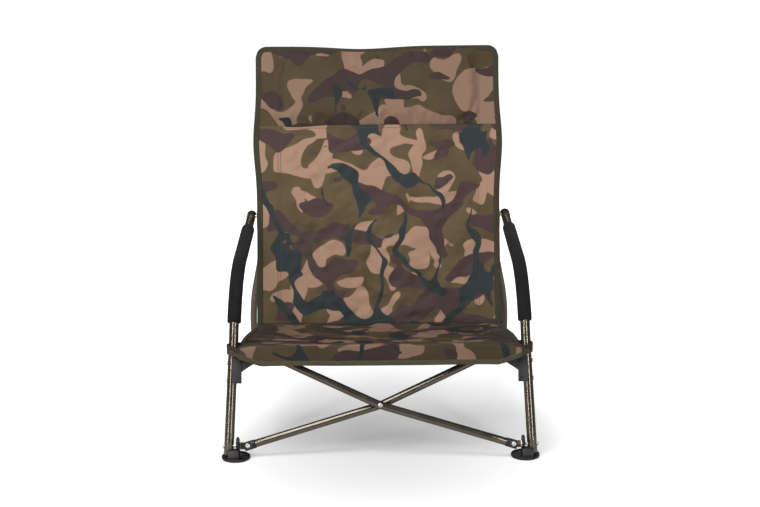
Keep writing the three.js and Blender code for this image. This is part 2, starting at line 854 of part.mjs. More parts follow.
// Back post with its top plug
function backPost(side) {
  const path = [postBottom, postTop].map((up) => local(side * postHalf, 0, up));
  return hollowTube(path, postTubeRadius, tubeWall);
}

function postCap(side) {
  const plugRadius = postTubeRadius - tubeWall - fit;
  const profile = [
    [0, -postPlugLength],
    [plugRadius, -postPlugLength],
    [plugRadius, fit],
    [postTubeRadius, fit],
    [postTubeRadius, fit + postCapLength / 2],
    [plugRadius, fit + postCapLength],
    [0, fit + postCapLength],
  ];
  return turned(profile, local(side * postHalf, 0, postTop), zAxis, tubeSides);
}

// Upper bracket: a pad behind the post and a side plate that carries the arm and the rear leg
function postBracket(side) {
  const plateOuter = plateInnerHalf + plateThickness;
  const [lowX, highX] = spanX(side, plateInnerHalf, plateOuter);
  const rearReach = rearPivotBack + rearTubeRadius + plateThickness;
  const plate = plateInYZ([
    [-plateFront, plateTop - plateFront / 2],
    [-plateFront / 2, plateTop],
    [padFront + padThickness, plateTop],
    [rearReach, -rearPivotDrop + rearTubeRadius],
    [rearReach, plateBottom + plateFront / 2],
    [rearPivotBack, plateBottom],
    [rearPivotBack - rearTubeRadius, plateBottom],
    [-plateFront, -plateTop],
  ], lowX, highX);
  const [padLowX, padHighX] = spanX(side, postHalf - postTubeRadius / 2, plateOuter);
  const pad = box(local(padLowX, padFront, padBottom), local(padHighX, padFront + padThickness, plateTop));
  const bores = [[0, 0], [rearPivotBack, -rearPivotDrop]].map(([back, up]) => rod(
    local(lowX - overrun, back, up),
    local(highX + overrun, back, up),
    rivetRadius + pinFit,
    pinSides,
  ));
  return cut(join(plate, pad), ...bores);
}

function armPivotPin(side) {
  const inner = local(side * (plateInnerHalf - fit / 2), 0, 0);
  const outer = local(side * (armEndHalf + legTubeRadius + fit), 0, 0);
  return rivet(inner, outer, fit, rivetHeadHeight);
}

function rearLegPin(side) {
  const inner = local(side * (rearLegTopHalf - rearTubeRadius - fit), rearPivotBack, -rearPivotDrop);
  const outer = local(side * (plateInnerHalf + plateThickness + fit), rearPivotBack, -rearPivotDrop);
  return rivet(inner, outer, rivetHeadHeight, thinHeadHeight);
}

// Rear leg: straight from its pivot in side view, spread outward to the foot in front view
const rearPivotWorld = reclineFrame.localToWorld(local(0, rearPivotBack, -rearPivotDrop));
const rearPivotDepth = rearPivotWorld.y + meanDepth;
const rearPivotHeight = rearPivotWorld.z;
const rearSpreadShares = [[0.955, 0], [0.84, 0.2], [0.69, 0.52], [0.57, 0.77], [0.45, 0.92], [0.32, 1]];

function rearLegPoint(side, heightShare, spreadShare) {
  const half = THREE.MathUtils.lerp(rearLegTopHalf, rearLegFootHalf, spreadShare);
  const depth = THREE.MathUtils.lerp(rearDiscDepth, rearPivotDepth, heightShare);
  return at(side * half, depth, rearPivotHeight * heightShare);
}

function rearLeg(side) {
  const lowShare = rearLegLowHeight / rearPivotHeight;
  const topShare = 1 + rearLegOverhang / rearPivotHeight;
  const spread = rearSpreadShares.map(([height, out]) => rearLegPoint(side, height, out));
  const path = [rearLegPoint(side, topShare, 0), ...spread, rearLegPoint(side, lowShare, 1)];
  const bore = { half: rearLegTopHalf, depth: rearPivotDepth, height: rearPivotHeight };
  return cut(hollowTube(path, rearTubeRadius, tubeWall), xBore(side, bore, rivetRadius + pinFit));
}

function rearFoot(side) {
  const lowShare = rearLegLowHeight / rearPivotHeight;
  const start = rearLegPoint(side, 0, 1);
  const end = rearLegPoint(side, rearSocketHeight / rearPivotHeight, 1);
  const socket = rod(start.clone().setZ(discFloor / 2), end, rearTubeRadius + fit + rearSocketWall);
  const body = join(discSolid(side * discHalf, rearDiscDepth), socket);
  const underFloor = box(at(-legFootHalf * 2, 0, -overrun), at(legFootHalf * 2, rearDiscDepth * 2, 0));
  const trimmed = cut(body, underFloor);
  const boreStart = rearLegPoint(side, lowShare - fit / rearPivotHeight, 1);
  const bore = rod(boreStart, rearLegPoint(side, 1, 1), rearTubeRadius + fit);
  return cut(trimmed, bore);
}

// Lower bracket behind each post, a channel round the low pivot of the rear cross
function postLowBracket(side) {
  const front = postTubeRadius + fit;
  const rear = rearCrossBack + crossOffset + sleeveRadius + clevisPlateGap;
  const xs = [side * crossHalf - lowBracketHalfWidth, side * crossHalf + lowBracketHalfWidth];
  const low = rearCrossLow - lowBracketHalfHeight;
  const high = rearCrossLow + lowBracketHalfHeight;
  const frontPlate = box(local(xs[0], front, low), local(xs[1], front + lowBracketWall, high));
  const rearPlate = box(local(xs[0], rear, low), local(xs[1], rear + lowBracketRearWall, high));
  const web = box(
    local(xs[0], front, low - lowBracketRearWall),
    local(xs[1], rear + lowBracketRearWall, low + fit),
  );
  const pivot = local(side * crossHalf, front, rearCrossLow);
  const boreRadius = rivetRadius + pinFit;
  const bore = rod(pivot.clone().setY(front - overrun), pivot.clone().setY(rear + overrun), boreRadius);
  return cut(join(frontPlate, rearPlate, web), bore);
}

function rearCrossPin(side) {
  const front = local(side * crossHalf, postTubeRadius + fit + lowBracketWall, rearCrossLow);
  const rear = rearCrossBack + crossOffset + sleeveRadius + clevisPlateGap + lowBracketRearWall + fit;
  const grip = rear - front.y;
  const profile = [
    [0, -lowBracketWall],
    [rivetRadius, -lowBracketWall],
    [rivetRadius, grip],
    [rivetHeadRadius, grip],
    [rivetHeadRadius * headTopShare, grip + rivetHeadHeight],
    [0, grip + rivetHeadHeight],
  ];
  return turned(profile, front, yAxis);
}

// Rest behind each post for the tip of a rear cross tube
function rearRest(side) {
  const shift = (corners) => corners.map(([x, up]) => [x, up + rearCrossLow]);
  const outerHalf = rearLegTopHalf - rearTubeRadius - fit * 2;
  const restBack = rearCrossBack + crossOffset + crossTubeRadius;
  const outline = shift(shelfOutline(side, restInnerHalf, outerHalf, restThickness));
  const shelf = plateInXZ(outline, padFront, restBack);
  const shelfTop = rearCrossLow + shelfTopRise;
  const [lipLowX, lipHighX] = spanX(side, outerHalf - restThickness / 2, outerHalf);
  const lip = box(
    local(lipLowX, padFront, shelfTop - restThickness),
    local(lipHighX, restBack, shelfTop + restLipHeight),
  );
  const [padLowX, padHighX] = spanX(side, outerHalf - restThickness, postHalf + postTubeRadius / 2);
  const pad = box(
    local(padLowX, padFront, shelfTop - restThickness * 2),
    local(padHighX, padFront + restThickness / 2, shelfTop + restPadHigh),
  );
  return join(shelf, lip, pad);
}

// Back cloth: one sheet in front of the posts and a pocket behind each, sewn at the edge and inside
const bump = (value, centre, span) => Math.exp(-(((value - centre) / span) ** 2));

function backHalf(up) {
  const rise = THREE.MathUtils.clamp(up / backTop, 0, 1);
  return backEdgeHalf + backTopWiden * rise + backBulge * bump(up, backBulgeHeight, backBulgeSpan / 2);
}

function backTopAt(x) {
  const half = backHalf(backTop);
  const inCorner = Math.max(Math.abs(x) - (half - cornerRadius), 0);
  const round = cornerRadius - Math.sqrt(Math.max(cornerRadius ** 2 - inCorner ** 2, 0));
  return backTop - round - topSag * bump(x, -half * topSagPlaceShare, half * topSagSpanShare);
}

function backFold(x, up) {
  const inside = 1 - THREE.MathUtils.smoothstep(Math.abs(x), pocketSeamHalf * foldFadeShare, pocketSeamHalf);
  const fold = Math.sin((x + up * foldSlant) / (postHalf * foldPitchShare));
  const foldPlace = bump(up, backBottom * foldPlaceShare, backTop * foldSpanShare);
  const wrinkle = Math.sin(x / (postHalf * wrinklePitchShare));
  const wrinklePlace = bump(up, backBottom * wrinklePlaceShare, backTop * wrinkleSpanShare);
  return inside * (foldDepth * fold * foldPlace + wrinkleDepth * wrinkle * wrinklePlace);
}

function backSurface(u, v) {
  const reach = u * backHalf(backTop);
  const up = THREE.MathUtils.lerp(backBottom, backTopAt(reach), v);
  const x = u * backHalf(up);
  return local(x, sheetFront + backFold(x, up), up);
}

const pocketAngles = [124, 95, 66, 37, 8, -20].map(THREE.MathUtils.degToRad);

// Across the pocket: the inner seam, round the post and the outer edge
function pocketRoute(up) {
  const edge = backHalf(up) - clothThickness;
  const onPost = (angle) => [postHalf + pocketRadius * Math.cos(angle), pocketRadius * Math.sin(angle)];
  return [
    [pocketSeamHalf, sheetFront],
    ...pocketAngles.map(onPost),
    [Math.max(edge, postHalf + postTubeRadius), sheetFront],
  ];
}

function pocketSurface(side) {
  return (u, v) => {
    const up = THREE.MathUtils.lerp(backBottom, backTop - cornerRadius, v);
    const route = pocketRoute(up);
    const step = Math.round(((u * side + 1) / 2) * (route.length - 1));
    return local(side * route[step][0], route[step][1], up);
  };
}

function backSling() {
  const sheet = sheetSolid(backAcrossSteps, backAlongSteps, backSurface, clothThickness);
  const pocketAcrossSteps = pocketRoute(0).length - 1;
  const pockets = [-1, 1].map((side) => (
    sheetSolid(pocketAcrossSteps, pocketAlongSteps, pocketSurface(side), clothThickness)
  ));
  const windowLow = rearCrossLow + shelfTopRise - restThickness * 3;
  const windowHigh = plateTop + windowGap;
  const lowestHigh = rearCrossLow + lowBracketHalfHeight + windowGap;
  const windows = [-1, 1].flatMap((side) => {
    const [lowX, highX] = spanX(side, postHalf - postTubeRadius * 2, backHalf(0) + overrun);
    const upper = box(local(lowX, 0, windowLow), local(highX, overrun, windowHigh));
    const lowest = box(local(lowX, 0, backBottom - overrun), local(highX, overrun, lowestHigh));
    return [upper, lowest];
  });
  return cut(join(sheet, ...pockets), ...windows);
}

// Headrest pad in front of the top of the back, crowned and drawn in at its edges
function headrestPad() {
  const rear = sheetFront - padSeat;
  const positions = [];
  for (const isFront of [true, false]) {
    for (let j = 0; j <= padAlongSteps; j += 1) {
      for (let i = 0; i <= padAcrossSteps; i += 1) {
        const u = (i / padAcrossSteps) * 2 - 1;
        const v = (j / padAlongSteps) * 2 - 1;
        const crownAcross = Math.max(1 - Math.abs(u) ** padSquareness, 0);
        const crownAlong = Math.max(1 - v ** padRoundness, 0);
        const crown = Math.sqrt(crownAcross * crownAlong);
        const draw = 1 - padDrawShare * Math.cos(u * Math.PI * padDrawWaves);
        const depth = padEdgeDepth + (padDepth - padEdgeDepth) * crown;
        const up = (padLow + padHigh) / 2 + v * draw * (padHigh - padLow) / 2;
        positions.push(u * padHalf, isFront ? rear - depth : rear, up);
      }
    }
  }
  return gridShell(positions, padAcrossSteps, padAlongSteps);
}

add(reclineFrame, 'back_sling', backSling(), cloth());
add(reclineFrame, 'headrest_pad', headrestPad(), cloth());

for (const side of [-1, 1]) {
  const name = sideName(side);
  add(chair, `front_leg_arm_${name}`, frontLegArm(side), paint());
  add(chair, `armrest_foam_${name}`, armFoam(side), foam());
  add(chair, `arm_end_cap_${name}`, armEndCap(side), plastic());
  add(chair, `front_foot_${name}`, frontFoot(side), plastic());
  add(chair, `foot_pivot_rivet_${name}`, footPivotRivet(side), steel());
  add(frontCrossFrame, `seat_bracket_${name}`, seatBracket(side), plastic());
  add(chair, `seat_rivet_lower_${name}`, seatRivet(side, seatRivetHeights[0]), steel());
  add(chair, `seat_rivet_upper_${name}`, seatRivet(side, seatRivetHeights[1]), steel());
  add(frontCrossFrame, `foot_clevis_${name}`, footClevis(side), paint());
  add(frontCrossFrame, `clevis_rivet_${name}`, clevisTubeRivet(side), steel());
  add(reclineFrame, `back_post_${name}`, backPost(side), paint());
  add(reclineFrame, `post_cap_${name}`, postCap(side), plastic());
  add(reclineFrame, `post_bracket_${name}`, postBracket(side), plastic());
  add(reclineFrame, `arm_pivot_pin_${name}`, armPivotPin(side), steel());
  add(reclineFrame, `rear_leg_pin_${name}`, rearLegPin(side), steel());
  add(chair, `rear_leg_${name}`, rearLeg(side), paint());
  add(chair, `rear_foot_${name}`, rearFoot(side), plastic());
  add(reclineFrame, `post_low_bracket_${name}`, postLowBracket(side), plastic());
  add(reclineFrame, `rear_cross_pin_${name}`, rearCrossPin(side), steel());
  add(reclineFrame, `rear_rest_${name}`, rearRest(side), plastic());
}

// Two crosses: tube a rises from the left, tube b from the right, and b is nearer the sitter in front
function addCross(frame, where, low, middle, nearSide) {
  for (const [side, letter] of [[-1, 'a'], [1, 'b']]) {
    const back = middle - nearSide * side * crossOffset;
    add(frame, `${where}_cross_tube_${letter}`, crossTube(side, low, back), paint());
    add(frame, `${where}_cross_sleeve_${letter}`, crossSleeve(side, low, back), plastic());
    add(frame, `${where}_cross_tip_${letter}`, crossTip(side, low, back), plastic());
  }
  add(frame, `${where}_cross_bolt`, crossBolt(low, middle), steel());
}

addCross(frontCrossFrame, 'front', 0, 0, 1);
addCross(reclineFrame, 'rear', rearCrossLow, rearCrossBack, -1);

// Seat cloth, in the chair's own frame
const seatRear = reclineFrame.localToWorld(local(0, sheetFront, backBottom - seamGap));

const seatCreaseHeight = legTopHeight - seatCreaseDrop;
const seatCreaseDepth = legPoint(seatCreaseHeight).depth - seatFrontReach;

function seatHalf(share) {
  return THREE.MathUtils.lerp(seatRearHalf, seatFrontHalf, Math.sin(share * Math.PI / 2) ** seatSpreadPower);
}

function seatTop(u, share) {
  const y = THREE.MathUtils.lerp(seatRear.y, seatCreaseDepth - meanDepth, share);
  const middle = Math.sin(share * Math.PI);
  const sag = seatSag * (1 - u * u) * middle;
  const wave = Math.sin(u * seatFoldsAcross + share * seatFoldsAlong);
  const fold = seatFoldDepth * wave * middle * (1 - u ** seatFoldFade);
  const z = THREE.MathUtils.lerp(seatRear.z, seatCreaseHeight, share) - sag + fold;
  return new THREE.Vector3(u * seatHalf(share), y, z);
}

function seatSurface(u, v) {
  if (v <= seatCreaseShare) return seatTop(u, v / seatCreaseShare);
  const down = (v - seatCreaseShare) / (1 - seatCreaseShare);
  const crease = seatTop(u, 1);
  const drop = THREE.MathUtils.lerp(seatStripDrop, seatStripCornerDrop, u ** seatCornerSharpness);
  return crease.setZ(crease.z - drop * down).setY(crease.y - clothThickness * Math.sin(down * Math.PI / 2));
}

// Corner loop of the seat cloth round the front leg
function cornerLoop(side) {
  const leg = legPoint(seatCreaseHeight - seatStripCornerDrop / 2);
  const joinInset = clothThickness * 2;
  const rings = [];
  const route = [{ half: seatFrontHalf - joinInset, depth: seatCreaseDepth - clothThickness / 2 }];
  for (let step = 0; step <= loopSteps; step += 1) {
    const angle = THREE.MathUtils.lerp(loopStartShare, 1, step / loopSteps) * Math.PI / 2;
    const out = loopRadius * Math.cos(angle);
    route.push({ half: leg.half + out, depth: leg.depth + loopRadius * Math.sin(angle) });
  }
  route.push({ half: seatFrontHalf - joinInset, depth: leg.depth + loopRear });
  route.forEach((spot, index) => {
    const before = route[Math.max(index - 1, 0)];
    const after = route[Math.min(index + 1, route.length - 1)];
    const ahead = new THREE.Vector2(after.half - before.half, after.depth - before.depth).normalize();
    const out = new THREE.Vector2(ahead.y, -ahead.x).multiplyScalar(clothThickness / 2);
    const share = (leg.depth + loopRear - spot.depth) / (leg.depth + loopRear - seatCreaseDepth);
    const top = seatCreaseHeight - clothThickness * (1 - share);
    const low = seatCreaseHeight - seatStripCornerDrop + clothThickness;
    const corner = (sign, height) => at(side * (spot.half + sign * out.x), spot.depth + sign * out.y, height);
    const ring = [corner(-1, low), corner(1, low), corner(1, top), corner(-1, top)];
    rings.push(side > 0 ? ring.reverse() : ring);
  });
  return ringSolid(rings);
}

function seatSling() {
  const sheet = sheetSolid(seatAcrossSteps, seatAlongSteps, seatSurface, clothThickness);
  return join(sheet, cornerLoop(-1), cornerLoop(1));
}

add(chair, 'seat_sling', seatSling(), cloth());

export default chair;
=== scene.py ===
import math

import bmesh
import bpy
import numpy as np
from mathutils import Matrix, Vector, noise


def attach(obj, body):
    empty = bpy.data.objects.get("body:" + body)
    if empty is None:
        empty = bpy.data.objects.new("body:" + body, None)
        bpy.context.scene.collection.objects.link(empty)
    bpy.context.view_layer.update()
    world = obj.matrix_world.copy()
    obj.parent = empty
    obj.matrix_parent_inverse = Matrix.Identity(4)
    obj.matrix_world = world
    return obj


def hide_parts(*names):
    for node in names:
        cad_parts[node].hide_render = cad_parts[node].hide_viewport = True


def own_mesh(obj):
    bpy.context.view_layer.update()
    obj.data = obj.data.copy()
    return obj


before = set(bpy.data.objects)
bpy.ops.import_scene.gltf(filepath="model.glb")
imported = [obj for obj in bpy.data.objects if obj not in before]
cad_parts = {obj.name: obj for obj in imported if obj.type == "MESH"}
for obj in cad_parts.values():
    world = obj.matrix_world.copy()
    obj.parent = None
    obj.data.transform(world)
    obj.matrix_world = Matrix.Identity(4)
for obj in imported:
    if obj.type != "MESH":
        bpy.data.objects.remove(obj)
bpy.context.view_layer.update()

print("frame loaded,", len(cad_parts), "solids")

mm = 0.001
sides = ((-1, "left"), (1, "right"))

# where the frames of the chair sit: depths back from the front feet, heights over the floor
layout = {
    "meanDepth": 353.5,
    "recline": math.radians(18.4),
    "armPivotDepth": 530.278,
    "armPivotHeight": 401.432,
    "crossDepth": 5,
    "crossHeight": 26,
}


def at(x, depth, height):
    return Vector((x, depth - layout["meanDepth"], height)) * mm


def leaned(x, back, up, depth, height):
    along, across = math.sin(layout["recline"]), math.cos(layout["recline"])
    return at(x, depth + back * across + up * along, height - back * along + up * across)


def onBack(x, back, up):
    return leaned(x, back, up, layout["armPivotDepth"], layout["armPivotHeight"])


def onCross(x, back, up):
    return leaned(x, back, up, layout["crossDepth"], layout["crossHeight"])


leanUp = Vector((0, math.sin(layout["recline"]), math.cos(layout["recline"])))
leanBack = Vector((0, math.cos(layout["recline"]), -math.sin(layout["recline"])))
acrossAxis = Vector((1, 0, 0))


def lerp(low, high, share):
    return low + (high - low) * share


def smoothStep(value, low, high):
    share = min(max((value - low) / (high - low), 0), 1)
    return share * share * (3 - 2 * share)


def bump(value, centre, span):
    return math.exp(-(((value - centre) / span) ** 2))


def linked(name, data):
    made = bpy.data.objects.new(name, data)
    bpy.context.scene.collection.objects.link(made)
    return made


# camera, light and floor
view = {
    "distance": 3.2,  # metres in front of the front feet
    "height": 1.16,
    "lens": 77.64,
    "sensor": 36,
    "pitch": 12.83,
    "yaw": 0.12,
    "pan": 0.14,
    "roll": -0.42,
}


def placeCamera():
    camera = linked("camera", bpy.data.cameras.new("camera"))
    camera.data.lens = view["lens"]
    camera.data.sensor_width = view["sensor"]
    reach = view["distance"] + layout["meanDepth"] * mm
    yaw = math.radians(view["yaw"])
    camera.location = (-reach * math.sin(yaw), -reach * math.cos(yaw), view["height"])
    camera.rotation_euler = (
        math.radians(90 - view["pitch"]),
        math.radians(-view["roll"]),
        math.radians(-view["pan"]) - yaw,
    )
    bpy.context.scene.camera = camera


placeCamera()

studio = {
    "floorHalf": 14.0,
    "floorColour": (0.6, 0.6, 0.604, 1),
    "floorRoughness": 0.9,
    "white": (1, 1, 1, 1),
    "worldStrength": 0.04,  # what the chair gets of the white surround
    "glow": (0.22, 1.0),  # floor's own light between the front feet and away from them
    "glowReflected": 0.12,  # share of it that reflections and bounces get
    "shadeCentre": (0, -0.33, 0),
    "shadeReach": 0.9,
    "lamps": (  # place, aimed at, width and height, watts, spread in degrees
        ((-1.8, -2.75, 1.25), (0, 0, 0.35), (0.2, 2.4), 26, 150),
        ((1.7, -2.8, 1.25), (0, 0, 0.35), (0.2, 2.4), 26, 150),
        ((-1.1, -3.0, 3.0), (0, 0.15, 0.6), (1.3, 1.3), 3.0, 40),
        ((-1.2, -1.5, 4.6), (0, 0, 0.2), (3.0, 2.8), 142, 170),
        ((0.0, 2.6, 2.2), (0, 0, 0.5), (2.6, 1.2), 30, 170),
    ),
}


def feed(tree, socket, value):
    if isinstance(value, bpy.types.NodeSocket):
        tree.links.new(value, socket)
    else:
        socket.default_value = value


def addNode(tree, kind, inputs=None, **settings):
    made = tree.nodes.new(kind)
    for key, value in settings.items():
        setattr(made, key, value)
    for key, value in (inputs or {}).items():
        feed(tree, made.inputs[key], value)
    return made


def maths(tree, operation, first, second=0.0):
    return addNode(tree, "ShaderNodeMath", {0: first, 1: second}, operation=operation).outputs[0]


def mixColour(tree, share, first, second, blend="MIX"):
    inputs = {0: share, 6: first, 7: second}
    return addNode(tree, "ShaderNodeMix", inputs, data_type="RGBA", blend_type=blend).outputs[2]


def mapRange(tree, value, low, high, toLow=0.0, toHigh=1.0, smooth=False):
    inputs = {0: value, 1: low, 2: high, 3: toLow, 4: toHigh}
    way = "SMOOTHSTEP" if smooth else "LINEAR"
    return addNode(tree, "ShaderNodeMapRange", inputs, interpolation_type=way).outputs[0]


def newMaterial(name, fixed):
    material = bpy.data.materials.new(name)
    material.use_nodes = True
    tree = material.node_tree
    shader = tree.nodes["Principled BSDF"]
    for key, value in fixed.items():
        shader.inputs[key].default_value = value
    return material, tree, shader


def buildFloor():
    half = studio["floorHalf"]
    corners = [(-half, -half, 0), (half, -half, 0), (half, half, 0), (-half, half, 0)]
    mesh = bpy.data.meshes.new("studioFloor")
    mesh.from_pydata(corners, [], [(0, 1, 2, 3)])
    fixed = {
        "Base Color": studio["floorColour"],
        "Roughness": studio["floorRoughness"],
        "Emission Color": studio["white"],
    }
    paper, tree, shader = newMaterial("studioPaper", fixed)
    place = addNode(tree, "ShaderNodeTexCoord").outputs["Object"]
    points = {0: place, 1: studio["shadeCentre"]}
    away = addNode(tree, "ShaderNodeVectorMath", points, operation="DISTANCE").outputs["Value"]
    glow = mapRange(tree, away, 0.0, studio["shadeReach"], *studio["glow"], smooth=True)
    watched = addNode(tree, "ShaderNodeLightPath").outputs["Is Camera Ray"]
    glow = maths(tree, "MULTIPLY", glow, mapRange(tree, watched, 0, 1, studio["glowReflected"], 1.0))
    tree.links.new(glow, shader.inputs["Emission Strength"])
    mesh.materials.append(paper)
    linked("studioFloor", mesh)


def buildWorld():
    world = bpy.data.worlds.new("softStudio")
    world.use_nodes = True
    sky = world.node_tree
    seen = addNode(sky, "ShaderNodeLightPath").outputs["Is Camera Ray"]
    bright = mapRange(sky, seen, 0, 1, studio["worldStrength"], 1.0)
    sky.links.new(bright, sky.nodes["Background"].inputs["Strength"])
    sky.nodes["Background"].inputs["Color"].default_value = studio["white"]
    bpy.context.scene.world = world


def hangLamps():
    for index, (place, aim, size, power, spread) in enumerate(studio["lamps"]):
        lamp = bpy.data.lights.new(f"softbox{index}", "AREA")
        lamp.shape = "RECTANGLE"
        lamp.size, lamp.size_y = size
        lamp.energy = power
        lamp.spread = math.radians(spread)
        hung = linked(f"softbox{index}", lamp)
        hung.location = place
        hung.rotation_euler = (Vector(aim) - Vector(place)).to_track_quat("-Z", "Y").to_euler()


buildFloor()
buildWorld()
hangLamps()
bpy.context.scene.view_settings.view_transform = "Standard"
print("camera, lamps and floor ready")


# shader groups
def newTree(kind, name, inputs, outputs):
    tree = bpy.data.node_groups.new(name, kind)
    found = {}
    for label, socketKind, value in inputs:
        socket = tree.interface.new_socket(label, in_out="INPUT", socket_type="NodeSocket" + socketKind)
        if value is not None:
            socket.default_value = value
        found[label] = socket.identifier
    for label, socketKind in outputs:
        tree.interface.new_socket(label, in_out="OUTPUT", socket_type="NodeSocket" + socketKind)
    return tree, tree.nodes.new("NodeGroupInput"), tree.nodes.new("NodeGroupOutput"), found


def newGroup(name, inputs, outputs):
    inputs = [("Vector", "Vector", None), *inputs]
    return newTree("ShaderNodeTree", name, inputs, outputs)[:3]


def addNoise(tree, place, scale, detail, roughness=None):
    inputs = {"Vector": place, "Scale": scale, "Detail": detail}
    if roughness is not None:
        inputs["Roughness"] = roughness
    return addNode(tree, "ShaderNodeTexNoise", inputs)


grainLook = {"fineDetail": 3.0, "broadDetail": 4.0, "mottle": (0.3, 0.7)}


def buildGrain():
    group, source, result = newGroup(
        "fineGrain",
        [("Scale", "Float", 900.0), ("Spread", "Float", 40.0)],
        [("Height", "Float"), ("Mottle", "Float")],
    )
    place, scale, spread = source.outputs[:3]
    fine = addNoise(group, place, scale, grainLook["fineDetail"])
    broad = addNoise(group, place, spread, grainLook["broadDetail"])
    group.links.new(fine.outputs[0], result.inputs["Height"])
    mottle = mapRange(group, broad.outputs[0], *grainLook["mottle"], smooth=True)
    group.links.new(mottle, result.inputs["Mottle"])
    return group


wearLook = {
    "patchDetail": 5.0,
    "patchRoughness": 0.65,
    "patchLimit": 0.86,
    "turn": (0.5, 0.3, 0.8),
    "stretch": (14, 1.5, 14),
    "lineDetail": 2.0,
    "lineWidth": 0.006,
}


def buildWear():
    group, source, result = newGroup(
        "handlingWear",
        [("Scale", "Float", 60.0), ("Amount", "Float", 0.3)],
        [("Scuffs", "Float"), ("Scratches", "Float")],
    )
    place, scale, amount = source.outputs[:3]
    patches = addNoise(group, place, scale, wearLook["patchDetail"], wearLook["patchRoughness"])
    edge = maths(group, "SUBTRACT", wearLook["patchLimit"], amount)
    scuffs = mapRange(group, patches.outputs[0], edge, wearLook["patchLimit"])
    group.links.new(scuffs, result.inputs["Scuffs"])
    inputs = {"Vector": place, "Rotation": wearLook["turn"], "Scale": wearLook["stretch"]}
    stretched = addNode(group, "ShaderNodeMapping", inputs)
    lines = addNoise(group, stretched.outputs[0], scale, wearLook["lineDetail"])
    nearLine = maths(group, "ABSOLUTE", maths(group, "SUBTRACT", lines.outputs[0], 0.5))
    scratches = mapRange(group, nearLine, 0.0, wearLook["lineWidth"], 1.0, 0.0)
    group.links.new(scratches, result.inputs["Scratches"])
    return group


weaveLook = {"slubScale": 260.0, "slubDetail": 2.0, "shade": (0.93, 1.07), "shadeHeight": 0.6}


def buildWeave():
    group, source, result = newGroup(
        "plainWeave",
        [("Threads per Metre", "Float", 900.0), ("Slub", "Float", 0.25)],
        [("Height", "Float"), ("Shade", "Float")],
    )
    place, threads, slubShare = source.outputs[:3]
    inputs = {0: place, "Scale": threads}
    scaled = addNode(group, "ShaderNodeVectorMath", inputs, operation="SCALE")
    parts = addNode(group, "ShaderNodeSeparateXYZ", {0: scaled.outputs[0]})
    warp = maths(group, "SINE", maths(group, "MULTIPLY", parts.outputs[0], math.pi))
    weft = maths(group, "SINE", maths(group, "MULTIPLY", parts.outputs[1], math.pi))
    crossing = maths(group, "MULTIPLY", warp, weft)
    slub = addNoise(group, place, weaveLook["slubScale"], weaveLook["slubDetail"])
    uneven = maths(group, "MULTIPLY", maths(group, "SUBTRACT", slub.outputs[0], 0.5), slubShare)
    height = maths(group, "ADD", maths(group, "MULTIPLY", crossing, 0.5), uneven)
    group.links.new(height, result.inputs["Height"])
    # painted shade: the low threads darker and the high ones lighter
    reach = weaveLook["shadeHeight"]
    shade = mapRange(group, height, -reach, reach, *weaveLook["shade"])
    group.links.new(shade, result.inputs["Shade"])
    return group


woodlandLook = {
    "waverScale": 8.0,
    "waverDetail": 2.2,
    "waverRoughness": 0.42,
    "waverReach": 0.11,
    # fields of the print: shift, turn, stretch and scale
    "fingers": ((3.1, 1.7, 0.4), 0.85, (1.0, 0.5, 1.0), 19.0),
    "knuckles": ((0.6, 5.2, 3.3), -0.6, (0.62, 1.0, 1.0), 20.0),
    "blots": ((7.3, 4.9, 2.2), -0.35, (0.6, 1.0, 1.0), 20.0),
    "wander": ((1.9, 8.3, 5.1), 0.5, (1.0, 0.7, 1.0), 10.5),
    "swelling": ((5.5, 2.6, 9.4), 0.0, (1.0, 1.0, 1.0), 11.0),
    "sandEdge": (0.598, 0.606),
    "barkEdge": (0.583, 0.59),
    "twig": (0.42, 0.45, 0.0, 0.018),  # swelling from and to, width from and to
    "limb": (0.48, 0.68, 0.0, 0.05),
    "branchEdge": 0.0015,
}


def buildWoodland():
    look = woodlandLook
    group, source, result = newGroup(
        "woodlandPrint",
        [
            ("Ground", "Color", (0.1, 0.08, 0.05, 1)),
            ("Sand", "Color", (0.3, 0.2, 0.14, 1)),
            ("Bark", "Color", (0.06, 0.04, 0.04, 1)),
            ("Branch", "Color", (0.03, 0.04, 0.045, 1)),
        ],
        [("Color", "Color")],
    )
    place = source.outputs[0]

    def vectorMaths(operation, *values):
        return addNode(group, "ShaderNodeVectorMath", dict(enumerate(values)), operation=operation)

    waver = addNoise(group, place, look["waverScale"], look["waverDetail"], look["waverRoughness"])
    centred = vectorMaths("SUBTRACT", waver.outputs["Color"], (0.5, 0.5, 0.5))
    pushed = vectorMaths("SCALE", centred.outputs[0])
    pushed.inputs["Scale"].default_value = look["waverReach"]
    bent = vectorMaths("ADD", place, pushed.outputs[0]).outputs[0]

    def field(name):
        shift, turn, stretch, scale = look[name]
        inputs = {"Vector": bent, "Location": shift, "Rotation": (0, 0, turn), "Scale": stretch}
        moved = addNode(group, "ShaderNodeMapping", inputs)
        return addNoise(group, moved.outputs[0], scale, 0.0).outputs[0]

    fingers, knuckles = field("fingers"), field("knuckles")
    sand = mapRange(group, maths(group, "MAXIMUM", fingers, knuckles), *look["sandEdge"])
    bark = mapRange(group, field("blots"), *look["barkEdge"])
    ridge = maths(group, "ABSOLUTE", maths(group, "SUBTRACT", field("wander"), 0.5))
    swelling = field("swelling")
    twig, limb = mapRange(group, swelling, *look["twig"]), mapRange(group, swelling, *look["limb"])
    width = maths(group, "ADD", twig, limb)
    branch = maths(group, "SUBTRACT", width, ridge)
    branch = mapRange(group, branch, -look["branchEdge"], look["branchEdge"])
    colour = mixColour(group, sand, source.outputs["Ground"], source.outputs["Sand"])
    colour = mixColour(group, bark, colour, source.outputs["Bark"])
    colour = mixColour(group, branch, colour, source.outputs["Branch"])
    group.links.new(colour, result.inputs["Color"])
    return group


groups = {"grain": buildGrain(), "wear": buildWear(), "weave": buildWeave(), "woodland": buildWoodland()}


